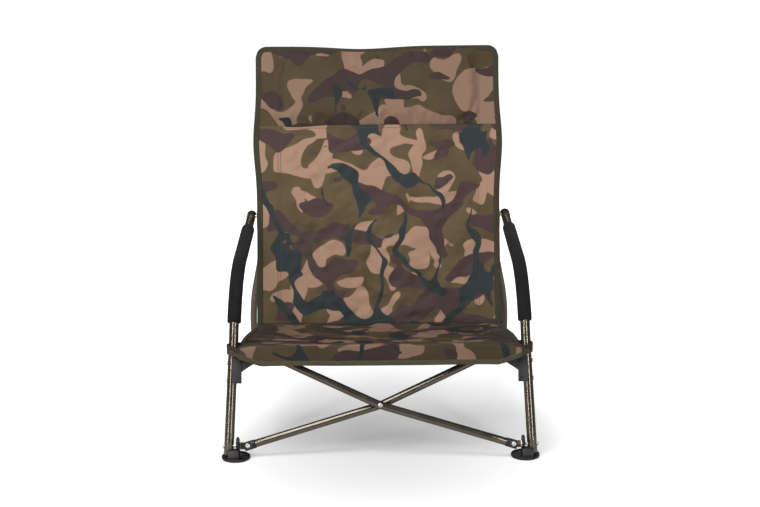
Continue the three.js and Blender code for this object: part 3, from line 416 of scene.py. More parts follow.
def useGroup(tree, name, inputs):
    return addNode(tree, "ShaderNodeGroup", inputs, node_tree=groups[name])


def useGrain(tree, place, look):
    return useGroup(tree, "grain", {"Vector": place, **look["grain"]}).outputs


def useWear(tree, place, look):
    return useGroup(tree, "wear", {"Vector": place, **look["wear"]}).outputs


def useWeave(tree, place, look):
    return useGroup(tree, "weave", {"Vector": place, **look["weave"]}).outputs


# a mask from 0 to 1 turned into a value between two others
def between(tree, mask, low, high):
    return mapRange(tree, mask, 0.0, 1.0, low, high)


def dress(tree, shader, colour, rough, height, bumpLook):
    tree.links.new(colour, shader.inputs["Base Color"])
    tree.links.new(rough, shader.inputs["Roughness"])
    inputs = {"Height": height, "Strength": bumpLook[0], "Distance": bumpLook[1]}
    relief = addNode(tree, "ShaderNodeBump", inputs)
    tree.links.new(relief.outputs[0], shader.inputs["Normal"])


def linear(red, green, blue):
    def channel(value):
        share = value / 255
        return share / 12.92 if share <= 0.04045 else ((share + 0.055) / 1.055) ** 2.4

    return (channel(red), channel(green), channel(blue), 1)


# materials
paintLook = {
    "shader": {
        "Metallic": 0.85,
        "IOR": 1.5,
        "Specular Tint": (0.3, 0.28, 0.24, 1),  # keeps the sides of the tubes dark
        "Coat Weight": 0.3,
        "Coat IOR": 1.5,
        "Coat Roughness": 0.1,
    },
    "colour": linear(107, 101, 90),
    "dusk": linear(97, 91, 80),
    "scuffed": linear(133, 127, 116),
    "grain": {"Scale": 2600.0, "Spread": 22.0},
    "wear": {"Scale": 34.0, "Amount": 0.2},
    "flake": (0.35, 0.75),
    "flakes": 0.14,
    "scratches": 0.25,
    "rough": (0.2, 0.25),
    "scuffRough": 0.08,
    "bump": (0.03, 0.0001),
}


def paintedTube():
    look = paintLook
    material, tree, shader = newMaterial("paintedTube", look["shader"])
    place = addNode(tree, "ShaderNodeTexCoord").outputs["Object"]
    grain, wear = useGrain(tree, place, look), useWear(tree, place, look)
    colour = mixColour(tree, grain["Mottle"], look["dusk"], look["colour"])
    flake = mapRange(tree, grain["Height"], *look["flake"])
    colour = mixColour(tree, maths(tree, "MULTIPLY", flake, look["flakes"]), colour, look["scuffed"])
    scratches = maths(tree, "MULTIPLY", wear["Scratches"], look["scratches"])
    colour = mixColour(tree, scratches, colour, look["scuffed"])
    rough = between(tree, grain["Mottle"], *look["rough"])
    rough = maths(tree, "ADD", rough, maths(tree, "MULTIPLY", wear["Scuffs"], look["scuffRough"]))
    dress(tree, shader, colour, rough, grain["Height"], look["bump"])
    return material


plasticLook = {
    "shader": {"IOR": 1.46},
    "black": (linear(18, 18, 19), linear(38, 37, 37)),  # clean and dusty
    "slate": (linear(26, 25, 28), linear(74, 72, 78)),
    "grain": {"Scale": 1500.0, "Spread": 30.0},
    "wear": {"Scale": 70.0, "Amount": 0.26},
    "dust": 0.22,
    "scuffs": 0.4,
    "rough": (0.38, 0.52),
    "bump": (0.35, 0.0003),
}


def mouldedPlastic(name, finish):
    look = plasticLook
    clean, dusty = look[finish]
    material, tree, shader = newMaterial(name, look["shader"])
    place = addNode(tree, "ShaderNodeTexCoord").outputs["Object"]
    grain, wear = useGrain(tree, place, look), useWear(tree, place, look)
    colour = mixColour(tree, maths(tree, "MULTIPLY", grain["Mottle"], look["dust"]), clean, dusty)
    colour = mixColour(tree, maths(tree, "MULTIPLY", wear["Scuffs"], look["scuffs"]), colour, dusty)
    rough = between(tree, grain["Mottle"], *look["rough"])
    dress(tree, shader, colour, rough, grain["Height"], look["bump"])
    return material


foamLook = {
    "shader": {"IOR": 1.35, "Specular IOR Level": 0.2, "Sheen Weight": 0.03, "Sheen Roughness": 0.5},
    "colour": linear(22, 22, 23),
    "wearAndShade": linear(38, 37, 37),
    "wornShare": 0.35,
    "grain": {"Scale": 1100.0, "Spread": 26.0},
    "poreScale": 850.0,
    "pore": (0.0, 0.5, -0.6, 0.2),
    "rough": (0.82, 0.92),
    "bump": (0.5, 0.0006),
}


def gripFoam():
    look = foamLook
    material, tree, shader = newMaterial("gripFoam", look["shader"])
    place = addNode(tree, "ShaderNodeTexCoord").outputs["Object"]
    grain = useGrain(tree, place, look)
    pores = addNode(tree, "ShaderNodeTexVoronoi", {"Vector": place, "Scale": look["poreScale"]})
    pitted = mapRange(tree, pores.outputs["Distance"], *look["pore"])
    height = maths(tree, "ADD", grain["Height"], pitted)
    wearAndShade = maths(tree, "MULTIPLY", grain["Mottle"], look["wornShare"])
    colour = mixColour(tree, wearAndShade, look["colour"], look["wearAndShade"])
    rough = between(tree, grain["Mottle"], *look["rough"])
    dress(tree, shader, colour, rough, height, look["bump"])
    return material


steelLook = {
    "shader": {"Metallic": 0.7, "IOR": 1.6},
    "colour": linear(206, 208, 212),
    "bright": linear(228, 230, 233),
    "stained": linear(120, 118, 114),
    "grain": {"Scale": 3000.0, "Spread": 160.0},
    "wear": {"Scale": 260.0, "Amount": 0.3},
    "scuffs": 0.4,
    "rough": (0.22, 0.36),
    "bump": (0.15, 0.0002),
}


def brightSteel():
    look = steelLook
    material, tree, shader = newMaterial("brightSteel", look["shader"])
    place = addNode(tree, "ShaderNodeTexCoord").outputs["Object"]
    grain, wear = useGrain(tree, place, look), useWear(tree, place, look)
    colour = mixColour(tree, grain["Mottle"], look["colour"], look["bright"])
    scuffs = maths(tree, "MULTIPLY", wear["Scuffs"], look["scuffs"])
    colour = mixColour(tree, scuffs, colour, look["stained"])
    rough = between(tree, grain["Mottle"], *look["rough"])
    dress(tree, shader, colour, rough, grain["Height"], look["bump"])
    return material


clothLook = {
    "shader": {"IOR": 1.4, "Specular IOR Level": 0.3, "Sheen Weight": 0.02, "Sheen Roughness": 0.4},
    "ground": linear(91, 77, 54),
    "groundDeep": linear(76, 63, 42),
    "dyes": {"Sand": linear(152, 121, 101), "Bark": linear(68, 52, 51), "Branch": linear(42, 48, 50)},
    "paintedShade": {"back": 0.97, "pad": 0.66, "seat": 0.54},  # painted shade: the print darkened on the pad and on the seat for the light that falls on them
    "weave": {"Threads per Metre": 1100.0, "Slub": 0.5},
    "grain": {"Scale": 1400.0, "Spread": 9.0},
    "rough": (0.68, 0.8),
    "bump": (0.35, 0.0003),
}
plainLook = {
    "shader": {"IOR": 1.4, "Specular IOR Level": 0.3, "Sheen Weight": 0.03, "Sheen Roughness": 0.4},
    # high and low threads, the low ones darker as painted shade, threads per metre and roughness
    "binding": (linear(68, 64, 47), linear(40, 37, 26), 620.0, 0.7),
    "hem": (linear(86, 80, 60), linear(56, 52, 38), 620.0, 0.7),
    "reverse": (linear(78, 70, 54), linear(44, 39, 30), 900.0, 0.55),
    "slub": 0.3,
    "grain": {"Scale": 1200.0, "Spread": 14.0},
    "rib": 0.5,
    "patchy": (0.6, 1.0),
    "roughSpread": 0.1,
    "bump": (0.6, 0.0005),
}
threadLook = {
    "shader": {"IOR": 1.45},
    "colour": linear(62, 56, 43),
    "deep": linear(46, 41, 31),
    "grain": {"Scale": 4000.0, "Spread": 90.0},
    "rough": (0.3, 0.7, 0.45, 0.6),
    "bump": (0.3, 0.0002),
}


def printedCloth(name, shadedAs):
    look = clothLook
    material, tree, shader = newMaterial(name, look["shader"])
    spread = addNode(tree, "ShaderNodeUVMap", uv_map="clothMap").outputs[0]
    weave, grain = useWeave(tree, spread, look), useGrain(tree, spread, look)
    ground = mixColour(tree, grain["Mottle"], look["groundDeep"], look["ground"])
    dyed = useGroup(tree, "woodland", {"Vector": spread, "Ground": ground, **look["dyes"]})
    # painted shade: the print darkened by the weave's shade and by the piece's painted shade
    wearAndShade = maths(tree, "MULTIPLY", weave["Shade"], look["paintedShade"][shadedAs])
    shade = addNode(tree, "ShaderNodeCombineColor", {0: wearAndShade, 1: wearAndShade, 2: wearAndShade})
    colour = mixColour(tree, 1.0, dyed.outputs["Color"], shade.outputs[0], "MULTIPLY")
    rough = between(tree, grain["Mottle"], *look["rough"])
    dress(tree, shader, colour, rough, weave["Height"], look["bump"])
    return material


def plainCloth(name, finish):
    look = plainLook
    light, deep, threads, rough = look[finish]
    material, tree, shader = newMaterial(name, look["shader"])
    spread = addNode(tree, "ShaderNodeUVMap", uv_map="clothMap").outputs[0]
    weave = useWeave(tree, spread, {"weave": {"Threads per Metre": threads, "Slub": look["slub"]}})
    grain = useGrain(tree, spread, look)
    # painted shade: the low threads take the deep colour, the high ones the light one
    ribs = mapRange(tree, weave["Height"], -look["rib"], look["rib"])
    ribs = maths(tree, "MULTIPLY", ribs, between(tree, grain["Mottle"], *look["patchy"]))
    colour = mixColour(tree, ribs, deep, light)
    rough = between(tree, grain["Mottle"], rough, rough + look["roughSpread"])
    dress(tree, shader, colour, rough, weave["Height"], look["bump"])
    return material


def sewingThread():
    look = threadLook
    material, tree, shader = newMaterial("sewingThread", look["shader"])
    place = addNode(tree, "ShaderNodeTexCoord").outputs["Object"]
    grain = useGrain(tree, place, look)
    colour = mixColour(tree, grain["Mottle"], look["deep"], look["colour"])
    rough = mapRange(tree, grain["Height"], *look["rough"])
    dress(tree, shader, colour, rough, grain["Height"], look["bump"])
    return material


materials = {
    "paint": paintedTube(),
    "black": mouldedPlastic("blackPlastic", "black"),
    "slate": mouldedPlastic("slatePlastic", "slate"),
    "foam": gripFoam(),
    "steel": brightSteel(),
    # the pad and the seat get darkened copies of the print, as painted shade
    "print": printedCloth("camouflageCloth", "back"),
    "padPrint": printedCloth("camouflagePadShaded", "pad"),
    "seatPrint": printedCloth("camouflageSeatShaded", "seat"),
    "binding": plainCloth("bindingTape", "binding"),
    "hem": plainCloth("hemTape", "hem"),
    "reverse": plainCloth("clothReverse", "reverse"),
    "thread": sewingThread(),
}
print("materials ready,", len(materials))


# mesh tools: a shell is (points, faces)
def meshOf(name, points, edges=(), faces=()):
    mesh = bpy.data.meshes.new(name)
    mesh.from_pydata([tuple(point) for point in points], edges, faces)
    return mesh


def smoothMesh(mesh, crease):
    mesh.polygons.foreach_set("use_smooth", np.ones(len(mesh.polygons), bool))
    mesh.set_sharp_from_angle(angle=math.radians(crease))


def addPiece(name, shell, finish, body, nodes, crease=40, uvs=None, marks=None, more=()):
    mesh = meshOf(name, shell[0], faces=shell[1])
    for key in (finish, *more):
        mesh.materials.append(materials[key])
    if marks is not None:
        mesh.polygons.foreach_set("material_index", np.array(marks, np.int32))
    if uvs is not None:
        layer = mesh.uv_layers.new(name="clothMap")
        corners = np.zeros(len(mesh.loops), np.int32)
        mesh.loops.foreach_get("vertex_index", corners)
        layer.data.foreach_set("uv", np.array(uvs, np.float32)[corners].ravel())
    smoothMesh(mesh, crease)
    mesh.update()
    return settle(linked(name, mesh), body, nodes)


def settle(piece, body, nodes):
    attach(piece, body)
    if nodes:
        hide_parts(*nodes)
    return piece


# one piece on each side of the chair
def addPair(label, shellFor, finish, body, node, crease=40):
    for side, word in sides:
        addPiece(f"{label}_{word}", shellFor(side), finish, f"{body}_{word}", [f"{node}_{word}"], crease)


def joinShells(shells):
    points, faces = [], []
    for shellPoints, shellFaces in shells:
        start = len(points)
        points.extend(shellPoints)
        faces.extend([tuple(index + start for index in face) for face in shellFaces])
    return points, faces


def skin(rings, looped=False):
    count = len(rings[0])
    points = [point for ring in rings for point in ring]
    faces = []
    spans = len(rings) if looped else len(rings) - 1
    for span in range(spans):
        low, high = span * count, ((span + 1) % len(rings)) * count
        for side in range(count):
            following = (side + 1) % count
            faces.append((low + side, low + following, high + following, high + side))
    if not looped:
        last = (len(rings) - 1) * count
        faces.append(tuple(range(count - 1, -1, -1)))
        faces.append(tuple(range(last, last + count)))
    return points, faces


def spanAt(path, index):
    return path[min(index + 1, len(path) - 1)] - path[max(index - 1, 0)]


def pathFrames(path):
    tangents = [spanAt(path, index).normalized() for index in range(len(path))]
    guide = acrossAxis if abs(tangents[0].x) < 0.7 else Vector((0, 1, 0))
    frames = []
    for tangent in tangents:
        guide = (guide - tangent * guide.dot(tangent)).normalized()
        frames.append((guide.copy(), tangent.cross(guide)))
    return frames


# both ends of a path: the point, the axes across it and the way in
def pathEnds(path, frames):
    first = (path[0], frames[0], (path[1] - path[0]).normalized())
    return first, (path[-1], frames[-1], (path[-2] - path[-1]).normalized())


def circle(centre, axes, radius, count):
    ring = []
    for side in range(count):
        angle = side / count * math.tau
        ring.append(centre + axes[0] * radius * math.cos(angle) + axes[1] * radius * math.sin(angle))
    return ring


def smoothPath(path, rounds):
    for _ in range(rounds):
        cut = [path[0]]
        for first, second in zip(path, path[1:]):
            cut += [first.lerp(second, 0.25), first.lerp(second, 0.75)]
        path = cut + [path[-1]]
    return path


tubeLook = {"wall": 1.2, "lip": 0.5, "lipSteps": 4, "plugDepth": 14, "count": 40}


# a drawn tube: rolled lips at both open ends and a closed floor a little way in
def tubeShell(path, radius):
    frames = pathFrames(path)
    wall, lip, count = tubeLook["wall"] * mm, tubeLook["lip"] * mm, tubeLook["count"]
    radius *= mm

    def rolled(point, axes, inward):
        steps = [(tubeLook["plugDepth"] * mm, radius - wall), (lip * 2, radius - wall)]
        for step in range(tubeLook["lipSteps"] + 1):
            angle = step / tubeLook["lipSteps"] * math.pi
            steps.append((lip * (1 - math.sin(angle)), radius - wall / 2 - wall / 2 * math.cos(angle)))
        return [circle(point + inward * depth, axes, size, count) for depth, size in steps]

    start, end = pathEnds(path, frames)
    middle = [circle(point, axes, radius, count) for point, axes in zip(path[1:-1], frames[1:-1])]
    return skin(rolled(*start) + middle + rolled(*end)[::-1])


# a turned shell: (radius, height) pairs from the axis out and round, along an axis
def turnedShell(profile, origin, axis, count=48):
    axis = axis.normalized()
    guide = acrossAxis if abs(axis.x) < 0.7 else Vector((0, 0, 1))
    first = (guide - axis * guide.dot(axis)).normalized()
    axes = (first, axis.cross(first))
    return skin([
        circle(origin + axis * height * mm, axes, max(radius, 0.02) * mm, count)
        for radius, height in profile
    ])


def arcProfile(centreRadius, centreHeight, radius, start, end, steps):
    profile = []
    for step in range(steps + 1):
        turn = math.radians(lerp(start, end, step / steps))
        profile.append((centreRadius + radius * math.cos(turn), centreHeight + radius * math.sin(turn)))
    return profile


# a profile of points, an arc and more points
def domedProfile(look):
    return [*look["base"], *arcProfile(*look["dome"]), *look["crown"]]


def roundEdges(work, edges, bevel, segments):
    settings = {"segments": segments, "affect": "EDGES", "profile": 0.5, "clamp_overlap": True}
    bmesh.ops.bevel(work, geom=edges, offset=bevel * mm, **settings)


def shellOf(work):
    work.verts.index_update()
    points = [vert.co.copy() for vert in work.verts]
    faces = [tuple(vert.index for vert in face.verts) for face in work.faces]
    work.free()
    return points, faces


# a flat outline given a thickness along a direction, its edges rounded
def prismShell(outline, direction, bevel, segments=2):
    work = bmesh.new()
    low = [work.verts.new(point) for point in outline]
    high = [work.verts.new(point + direction) for point in outline]
    count = len(outline)
    work.faces.new(low[::-1])
    work.faces.new(high)
    for side in range(count):
        following = (side + 1) % count
        work.faces.new((low[side], low[following], high[following], high[side]))
    bmesh.ops.recalc_face_normals(work, faces=work.faces)
    roundEdges(work, list(work.edges), bevel, segments)
    return shellOf(work)


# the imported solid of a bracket, merged, with its long edges rounded
def softenedNode(name, bevel):
    work = bmesh.new()
    work.from_mesh(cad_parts[name].data)
    bmesh.ops.remove_doubles(work, verts=work.verts, dist=1e-6)
    bmesh.ops.dissolve_limit(work, angle_limit=math.radians(1), verts=work.verts, edges=work.edges)
    edges = [edge for edge in work.edges if len(edge.link_faces) == 2]
    sharp = [edge for edge in edges if edge.calc_face_angle(0) > math.radians(52)]
    roundEdges(work, sharp, bevel, 2)
    bmesh.ops.recalc_face_normals(work, faces=work.faces)
    return shellOf(work)


# side frames: one bent tube for leg and arm
sideFrame = {
    "radius": 10,
    "footHalf": 313.5,
    "topHalf": 301.5,
    "bendHalf": 296,
    "armHalf": 294.5,
    "legLength": 248,
    "lean": math.radians(14.8),
    "bendRadius": 182,
    "armLength": 308,
    "armRise": math.radians(5),
    "overhang": 9,
    "startHeight": 7.5,
}
legTopHeight = sideFrame["legLength"] * math.cos(sideFrame["lean"])
legTopDepth = sideFrame["legLength"] * math.sin(sideFrame["lean"])
bendSweep = math.pi / 2 - sideFrame["lean"] - sideFrame["armRise"]
armEnd = sideFrame["armLength"] + sideFrame["overhang"]


def legSpot(side, height):
    half = lerp(sideFrame["footHalf"], sideFrame["topHalf"], height / legTopHeight)
    return at(side * half, height * math.tan(sideFrame["lean"]), height)


def bendSpot(side, share):
    radius, lean = sideFrame["bendRadius"], sideFrame["lean"]
    turn = lean + bendSweep * share
    depth = legTopDepth + radius * (math.cos(lean) - math.cos(turn))
    height = legTopHeight + radius * (math.sin(turn) - math.sin(lean))
    return at(side * lerp(sideFrame["topHalf"], sideFrame["bendHalf"], share), depth, height)


def armSpot(side, distance):
    half = lerp(sideFrame["bendHalf"], sideFrame["armHalf"], distance / sideFrame["armLength"])
    end = bendSpot(side, 1)
    rise = sideFrame["armRise"]
    depth, height = distance * mm * math.cos(rise), distance * mm * math.sin(rise)
    return Vector((side * half * mm, end.y + depth, end.z + height))


def sidePath(side):
    low = sideFrame["startHeight"]
    path = [legSpot(side, lerp(low, legTopHeight, step / 6)) for step in range(6)]
    path += [bendSpot(side, step / 28) for step in range(29)]
    return path + [armSpot(side, distance) for distance in (40, 100, 160, 220, 280, armEnd)]


def sideTube(side):
    return tubeShell(sidePath(side), sideFrame["radius"])


addPair("sideTube", sideTube, "paint", "arm", "front_leg_arm")

# foam grips
foamGrip = {
    "radius": 14.5,
    "bore": 10.25,
    "startTurn": 10,
    "rearGap": 104,
    "endRounding": 3.2,
    "mouth": ((0.6, 0), (0.1, 0.6)),  # inward and wider than the bore
    "swell": 0.25,
    "swellScale": 28,
    "count": 48,
}


def foamShell(side):
    startShare = math.radians(foamGrip["startTurn"]) / bendSweep
    straight = sideFrame["armLength"] - foamGrip["rearGap"]
    bore, rounding, count = foamGrip["bore"], foamGrip["endRounding"], foamGrip["count"]
    path = [bendSpot(side, lerp(startShare, 1, step / 26)) for step in range(27)]
    path += [armSpot(side, lerp(0, straight, step / 20)) for step in range(1, 21)]
    frames = pathFrames(path)

    def rounded(point, axes, inward):
        made = [
            circle(point + inward * depth * mm, axes, (bore + wider) * mm, count)
            for depth, wider in foamGrip["mouth"]
        ]
        for step in range(6):
            turn = step / 5 * math.pi / 2
            size = foamGrip["radius"] - rounding * (1 - math.sin(turn))
            centre = point + inward * rounding * (1 - math.cos(turn)) * mm
            made.append(circle(centre, axes, size * mm, count))
        return made

    start, end = pathEnds(path, frames)
    rings = rounded(*start)
    for index in range(1, len(path) - 1):
        place = path[index] * foamGrip["swellScale"] + Vector((side, 0, 0))
        size = foamGrip["radius"] + foamGrip["swell"] * noise.noise(place)
        rings.append(circle(path[index], frames[index], size * mm, count))
    rings += rounded(*end)[::-1]
    rings += [circle(point, axes, bore * mm, count) for point, axes in list(zip(path, frames))[-2:0:-3]]
    return skin(rings, looped=True)


addPair("foamGrip", foamShell, "foam", "arm", "armrest_foam", 60)

# turned plastic ends: arm caps, post caps, cross tips and sleeves
armCap = {
    "base": ((0, -9), (8.5, -9), (8.5, 0.3), (10.7, 0.3), (11, 0.7), (11, 3.2)),
    "dome": (8, 3.2, 3, 0, 75, 6),
    "crown": ((4.5, 6.2), (0, 6.3)),
}


def armCapShell(side):
    end = armSpot(side, armEnd)
    return turnedShell(domedProfile(armCap), end, end - bendSpot(side, 1))


addPair("armCap", armCapShell, "black", "arm", "arm_end_cap", 32)

postFrame = {"half": 266, "radius": 9.5, "top": 385, "bottom": -270.986, "steps": 8}
postCap = {
    "base": ((0, -10), (8, -10), (8, 0.3), (9.2, 0.3), (9.5, 0.6)),
    "dome": (7.3, 1.1, 2.2, 0, 80, 6),
    "crown": ((3.5, 3.3), (0, 3.3)),
}


def postPath(side):
    low, high, steps = postFrame["bottom"], postFrame["top"], postFrame["steps"]
    heights = [lerp(low, high, step / steps) for step in range(steps + 1)]
    return [onBack(side * postFrame["half"], 0, height) for height in heights]


def postShell(side):
    return tubeShell(postPath(side), postFrame["radius"])


def postCapShell(side):
    return turnedShell(domedProfile(postCap), postPath(side)[-1], leanUp)


addPair("backPost", postShell, "paint", "post", "back_post")
addPair("postCap", postCapShell, "black", "post", "post_cap", 32)

# crosses: each tube kinks at the bolt
crossLook = {
    "radius": 8,
    "half": 273.3,
    "boltRise": 80.9816,
    "tipHalf": 245.1,
    "tipRise": 194.2,
    "offset": 8.3,
    "tail": 7,
    "tipCap": 3,
    "kinkHalf": 16,
    "kinkSteps": 8,
    "stops": (60, 140, 220),
    "laterStops": (80, 170),
    "rearBack": 29,
    "rearLow": -261.986,
}
crossSleeve = {"radius": 9.2, "reach": 16, "past": 1.4, "mouth": 8.15, "bore": 8.05, "depth": 6}
crossTip = {
    "base": ((0, -8), (6.5, -8), (6.5, 0.3), (7.8, 0.3), (8, 0.6)),
    "dome": (6.2, 1.1, 1.8, 0, 80, 5),
    "crown": ((3, 3), (0, 3)),
}
crossLower = math.hypot(crossLook["half"], crossLook["boltRise"])
crossUpper = math.hypot(crossLook["tipHalf"], crossLook["tipRise"] - crossLook["boltRise"])


def crossSpot(place, side, low, back, distance):
    if distance <= crossLower:
        share = 1 - distance / crossLower
        return place(side * crossLook["half"] * share, back, low + crossLook["boltRise"] * (1 - share))
    share = (distance - crossLower) / crossUpper
    rise = lerp(crossLook["boltRise"], crossLook["tipRise"], share)
    return place(-side * crossLook["tipHalf"] * share, back, low + rise)


def sleeveProfile():
    long = crossSleeve["reach"] + crossLook["tail"] + crossSleeve["past"]
    outer, mouth, bore = crossSleeve["radius"], crossSleeve["mouth"], crossSleeve["bore"]
    floor = long - crossSleeve["depth"]
    profile = [(0, 0), (outer - 1, 0), (outer - 0.3, 0.3), (outer, 1), (outer, long - 1.2)]
    profile += [(outer - 0.25, long - 0.4), (outer - 0.7, long), (mouth, long)]
    return profile + [(bore, floor), (0, floor - 0.1)]


def crossShells(place, side, low, back):
    def spot(distance):
        return crossSpot(place, side, low, back, distance)

    tail, kinkHalf, kinkSteps = crossLook["tail"], crossLook["kinkHalf"], crossLook["kinkSteps"]
    before = [spot(stop) for stop in (-tail, *crossLook["stops"], crossLower - kinkHalf)]
    corner = spot(crossLower)
    after = [spot(crossLower + stop) for stop in (kinkHalf, *crossLook["laterStops"])]
    kink = []
    for step in range(1, kinkSteps):
        share = step / kinkSteps
        kink.append(before[-1].lerp(corner, share).lerp(corner.lerp(after[0], share), share))
    end = spot(crossLower + crossUpper - crossLook["tipCap"])
    start = spot(-tail - crossSleeve["past"])
    return {
        "Tube": tubeShell(before + kink + after + [end], crossLook["radius"]),
        "Sleeve": turnedShell(sleeveProfile(), start, spot(40) - start),
        "Tip": turnedShell(domedProfile(crossTip), end, end - after[-1]),
    }


crosses = (
    ("front", onCross, 0, 0, 1),
    ("rear", onBack, crossLook["rearLow"], crossLook["rearBack"], -1),
)
for where, place, low, middle, nearSide in crosses:
    for side, letter in ((-1, "a"), (1, "b")):
        back = middle - nearSide * side * crossLook["offset"]
        body = f"{where}_cross_{letter}"
        for part, shell in crossShells(place, side, low, back).items():
            finish, crease = ("paint", 40) if part == "Tube" else ("black", 32)
            node = f"{where}_cross_{part.lower()}_{letter}"
            addPiece(f"{where}Cross{part}_{letter}", shell, finish, body, [node], crease)

# rear legs
rearFrame = {
    "radius": 8,
    "topHalf": 270,
    "footHalf": 305,
    "discDepth": 705,
    "lowHeight": 8,
    "overhang": 7,
    "back": 26,
    "drop": 46.013,
    # share of the height, and how far out the leg is there
    "spread": ((0.955, 0), (0.84, 0.2), (0.69, 0.52), (0.57, 0.77), (0.45, 0.92), (0.32, 1)),
}
rearPivot = onBack(0, rearFrame["back"], -rearFrame["drop"])
rearTop = rearPivot.z / mm


def rearSpot(side, heightShare, out):
    half = lerp(rearFrame["topHalf"], rearFrame["footHalf"], out)
    depth = lerp(rearFrame["discDepth"] - layout["meanDepth"], rearPivot.y / mm, heightShare)
    return Vector((side * half, depth, rearTop * heightShare)) * mm


def rearLegShell(side):
    path = [rearSpot(side, 1 + rearFrame["overhang"] / rearTop, 0)]
    path += [rearSpot(side, share, out) for share, out in rearFrame["spread"]]
    path.append(rearSpot(side, rearFrame["lowHeight"] / rearTop, 1))
    return tubeShell(smoothPath(path, 3), rearFrame["radius"])


addPair("rearLeg", rearLegShell, "paint", "rear_support", "rear_leg")
print("tubes, grips and caps made")

# feet: dished mud discs with their sockets
footLook = {
    "radius": 29.5,
    "half": 298,
    "frontDepth": 2,
    "floor": 3.8,
    "rim": 6.6,
    "rimWidth": 2.4,
    "lugInner": 290.3,
    "lugThick": 7,
    "lugHeight": 42,
    "lugHalfDepth": 9,
    "lugRounding": 0.9,
    "blockFront": 20,
    "blockHeight": 21,
    "blockWidth": 24,
    "blockRounding": 1.6,
    "pivotDepth": 5,
    "socketWall": 3,
    "socketHeight": 30,
    "ribs": 12,
}
ribLook = {"near": 13, "far": 25.8, "half": 0.7, "height": 1.6, "sunk": 0.3, "rounding": 0.3}
knobLook = {
    "base": ((0, 0), (2.6, 0), (2.6, 4.6)),
    "dome": (1.4, 4.8, 1.2, 0, 90, 4),
    "crown": ((0, 6),),
}


def discShell(half, depth):
    outer, rim, wide, floor = (footLook[key] for key in ("radius", "rim", "rimWidth", "floor"))
    profile = [(0, 0), (outer - 3, 0), (outer - 1.4, 0.5), (outer - 0.4, 1.5), (outer, 3)]
    profile += [(outer, rim - 1)] + arcProfile(outer - wide / 2, rim - wide / 2, wide / 2, 0, 180, 8)[1:]
    profile += [(outer - wide - 0.4, floor + 1), (outer - wide - 1.6, floor), (0, floor)]
    return turnedShell(profile, at(half, depth, 0), Vector((0, 0, 1)), 96)


def ribShells(half, depth):
    shells = []
    centre = at(half, depth, footLook["floor"] - ribLook["sunk"])
    rise = Vector((0, 0, ribLook["height"] * mm))
    for step in range(footLook["ribs"]):
        turn = (step + 0.5) / footLook["ribs"] * math.tau
        out = Vector((math.cos(turn), math.sin(turn), 0))
        across = Vector((-out.y, out.x, 0)) * ribLook["half"] * mm
        near, far = centre + out * ribLook["near"] * mm, centre + out * ribLook["far"] * mm
        outline = [near - across, far - across, far + across, near + across]
        shells.append(prismShell(outline, rise, ribLook["rounding"], 1))
    return shells


def frontFootShell(side):
    inner, thick = footLook["lugInner"], footLook["lugThick"]
    centre, reach, top = footLook["pivotDepth"], footLook["lugHalfDepth"], footLook["lugHeight"]
    low = footLook["floor"] / 2
    front, high = footLook["blockFront"], footLook["blockHeight"]

    def slab(outline, width, rounding, segments=2):
        spots = [at(side * inner, depth, height) for depth, height in outline]
        return prismShell(spots, acrossAxis * side * width * mm, rounding, segments)

    shoulder = [(1, low), (1, top - reach), (0.86, top - reach * 0.5), (0.5, top - 0.6)]
    lug = [(centre - reach * share, height) for share, height in shoulder] + [(centre, top)]
    lug += [(centre + reach * share, height) for share, height in shoulder[::-1]]
    block = [(-front, low), (-front * 0.94, high * 0.45), (-front * 0.6, high)]
    block += [(centre, high), (centre, low)]
    shells = [discShell(side * footLook["half"], footLook["frontDepth"])]
    shells.append(slab(lug, thick, footLook["lugRounding"]))
    shells.append(slab(block, footLook["blockWidth"], footLook["blockRounding"], 3))
    for end in (-1, 1):
        spot = at(side * (inner + thick / 2), centre + end * reach / 3, top - 4)
        shells.append(turnedShell(domedProfile(knobLook), spot, Vector((0, 0, 1)), 24))
    return joinShells(shells + ribShells(side * footLook["half"], footLook["frontDepth"]))


def rearFootShell(side):
    start = rearSpot(side, 0, 1)
    end = rearSpot(side, footLook["socketHeight"] / rearTop, 1)
    radius = rearFrame["radius"] + 0.3 + footLook["socketWall"]
    long = (end - start).length / mm
    profile = [(0, 7.6), (radius + 2.2, 7.6), (radius + 0.9, 9.5), (radius, 13), (radius, long - 1.5)]
    profile += arcProfile(radius - 1.2, long - 1.2, 1.2, 0, 90, 4)
    profile += [(radius - 2.9, long), (radius - 2.95, long - 6), (0, long - 6.1)]
    place = (side * footLook["half"], rearFrame["discDepth"])
    shells = [discShell(*place), turnedShell(profile, start, end - start)]
    return joinShells(shells + ribShells(*place))


addPair("frontFoot", frontFootShell, "black", "arm", "front_foot", 35)
addPair("rearFoot", rearFootShell, "black", "rear_support", "rear_foot", 35)

# moulded and pressed brackets
brackets = (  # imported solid, piece, finish, body and rounding
    ("post_bracket", "postBracket", "black", "post", 0.7),
    ("post_low_bracket", "postLowBracket", "black", "post", 0.4),
    ("rear_rest", "rearRest", "black", "post", 0.6),
    ("seat_bracket", "seatBracket", "slate", "arm", 0.9),
    ("foot_clevis", "footClevis", "paint", "clevis", 0.5),
)
for node, label, finish, body, rounding in brackets:
    for side, word in sides:
        shell = softenedNode(f"{node}_{word}", rounding)
        addPiece(f"{label}_{word}", shell, finish, f"{body}_{word}", [f"{node}_{word}"], 28)
print("feet and brackets made")


# rivets and bolts, by Geometry Nodes: a head, a shank and a tail on each marked point
def geometryTree(name, inputs):
    shape = ("Geometry", "Geometry")
    return newTree("GeometryNodeTree", name, [(*shape, None), *inputs], [shape])


def named(tree, name, kind):
    made = addNode(tree, "GeometryNodeInputNamedAttribute", {"Name": name}, data_type=kind)
    return made.outputs["Attribute"]


def turnTo(tree, inputs, **settings):
    return addNode(tree, "FunctionNodeAlignRotationToVector", inputs, **settings).outputs[0]


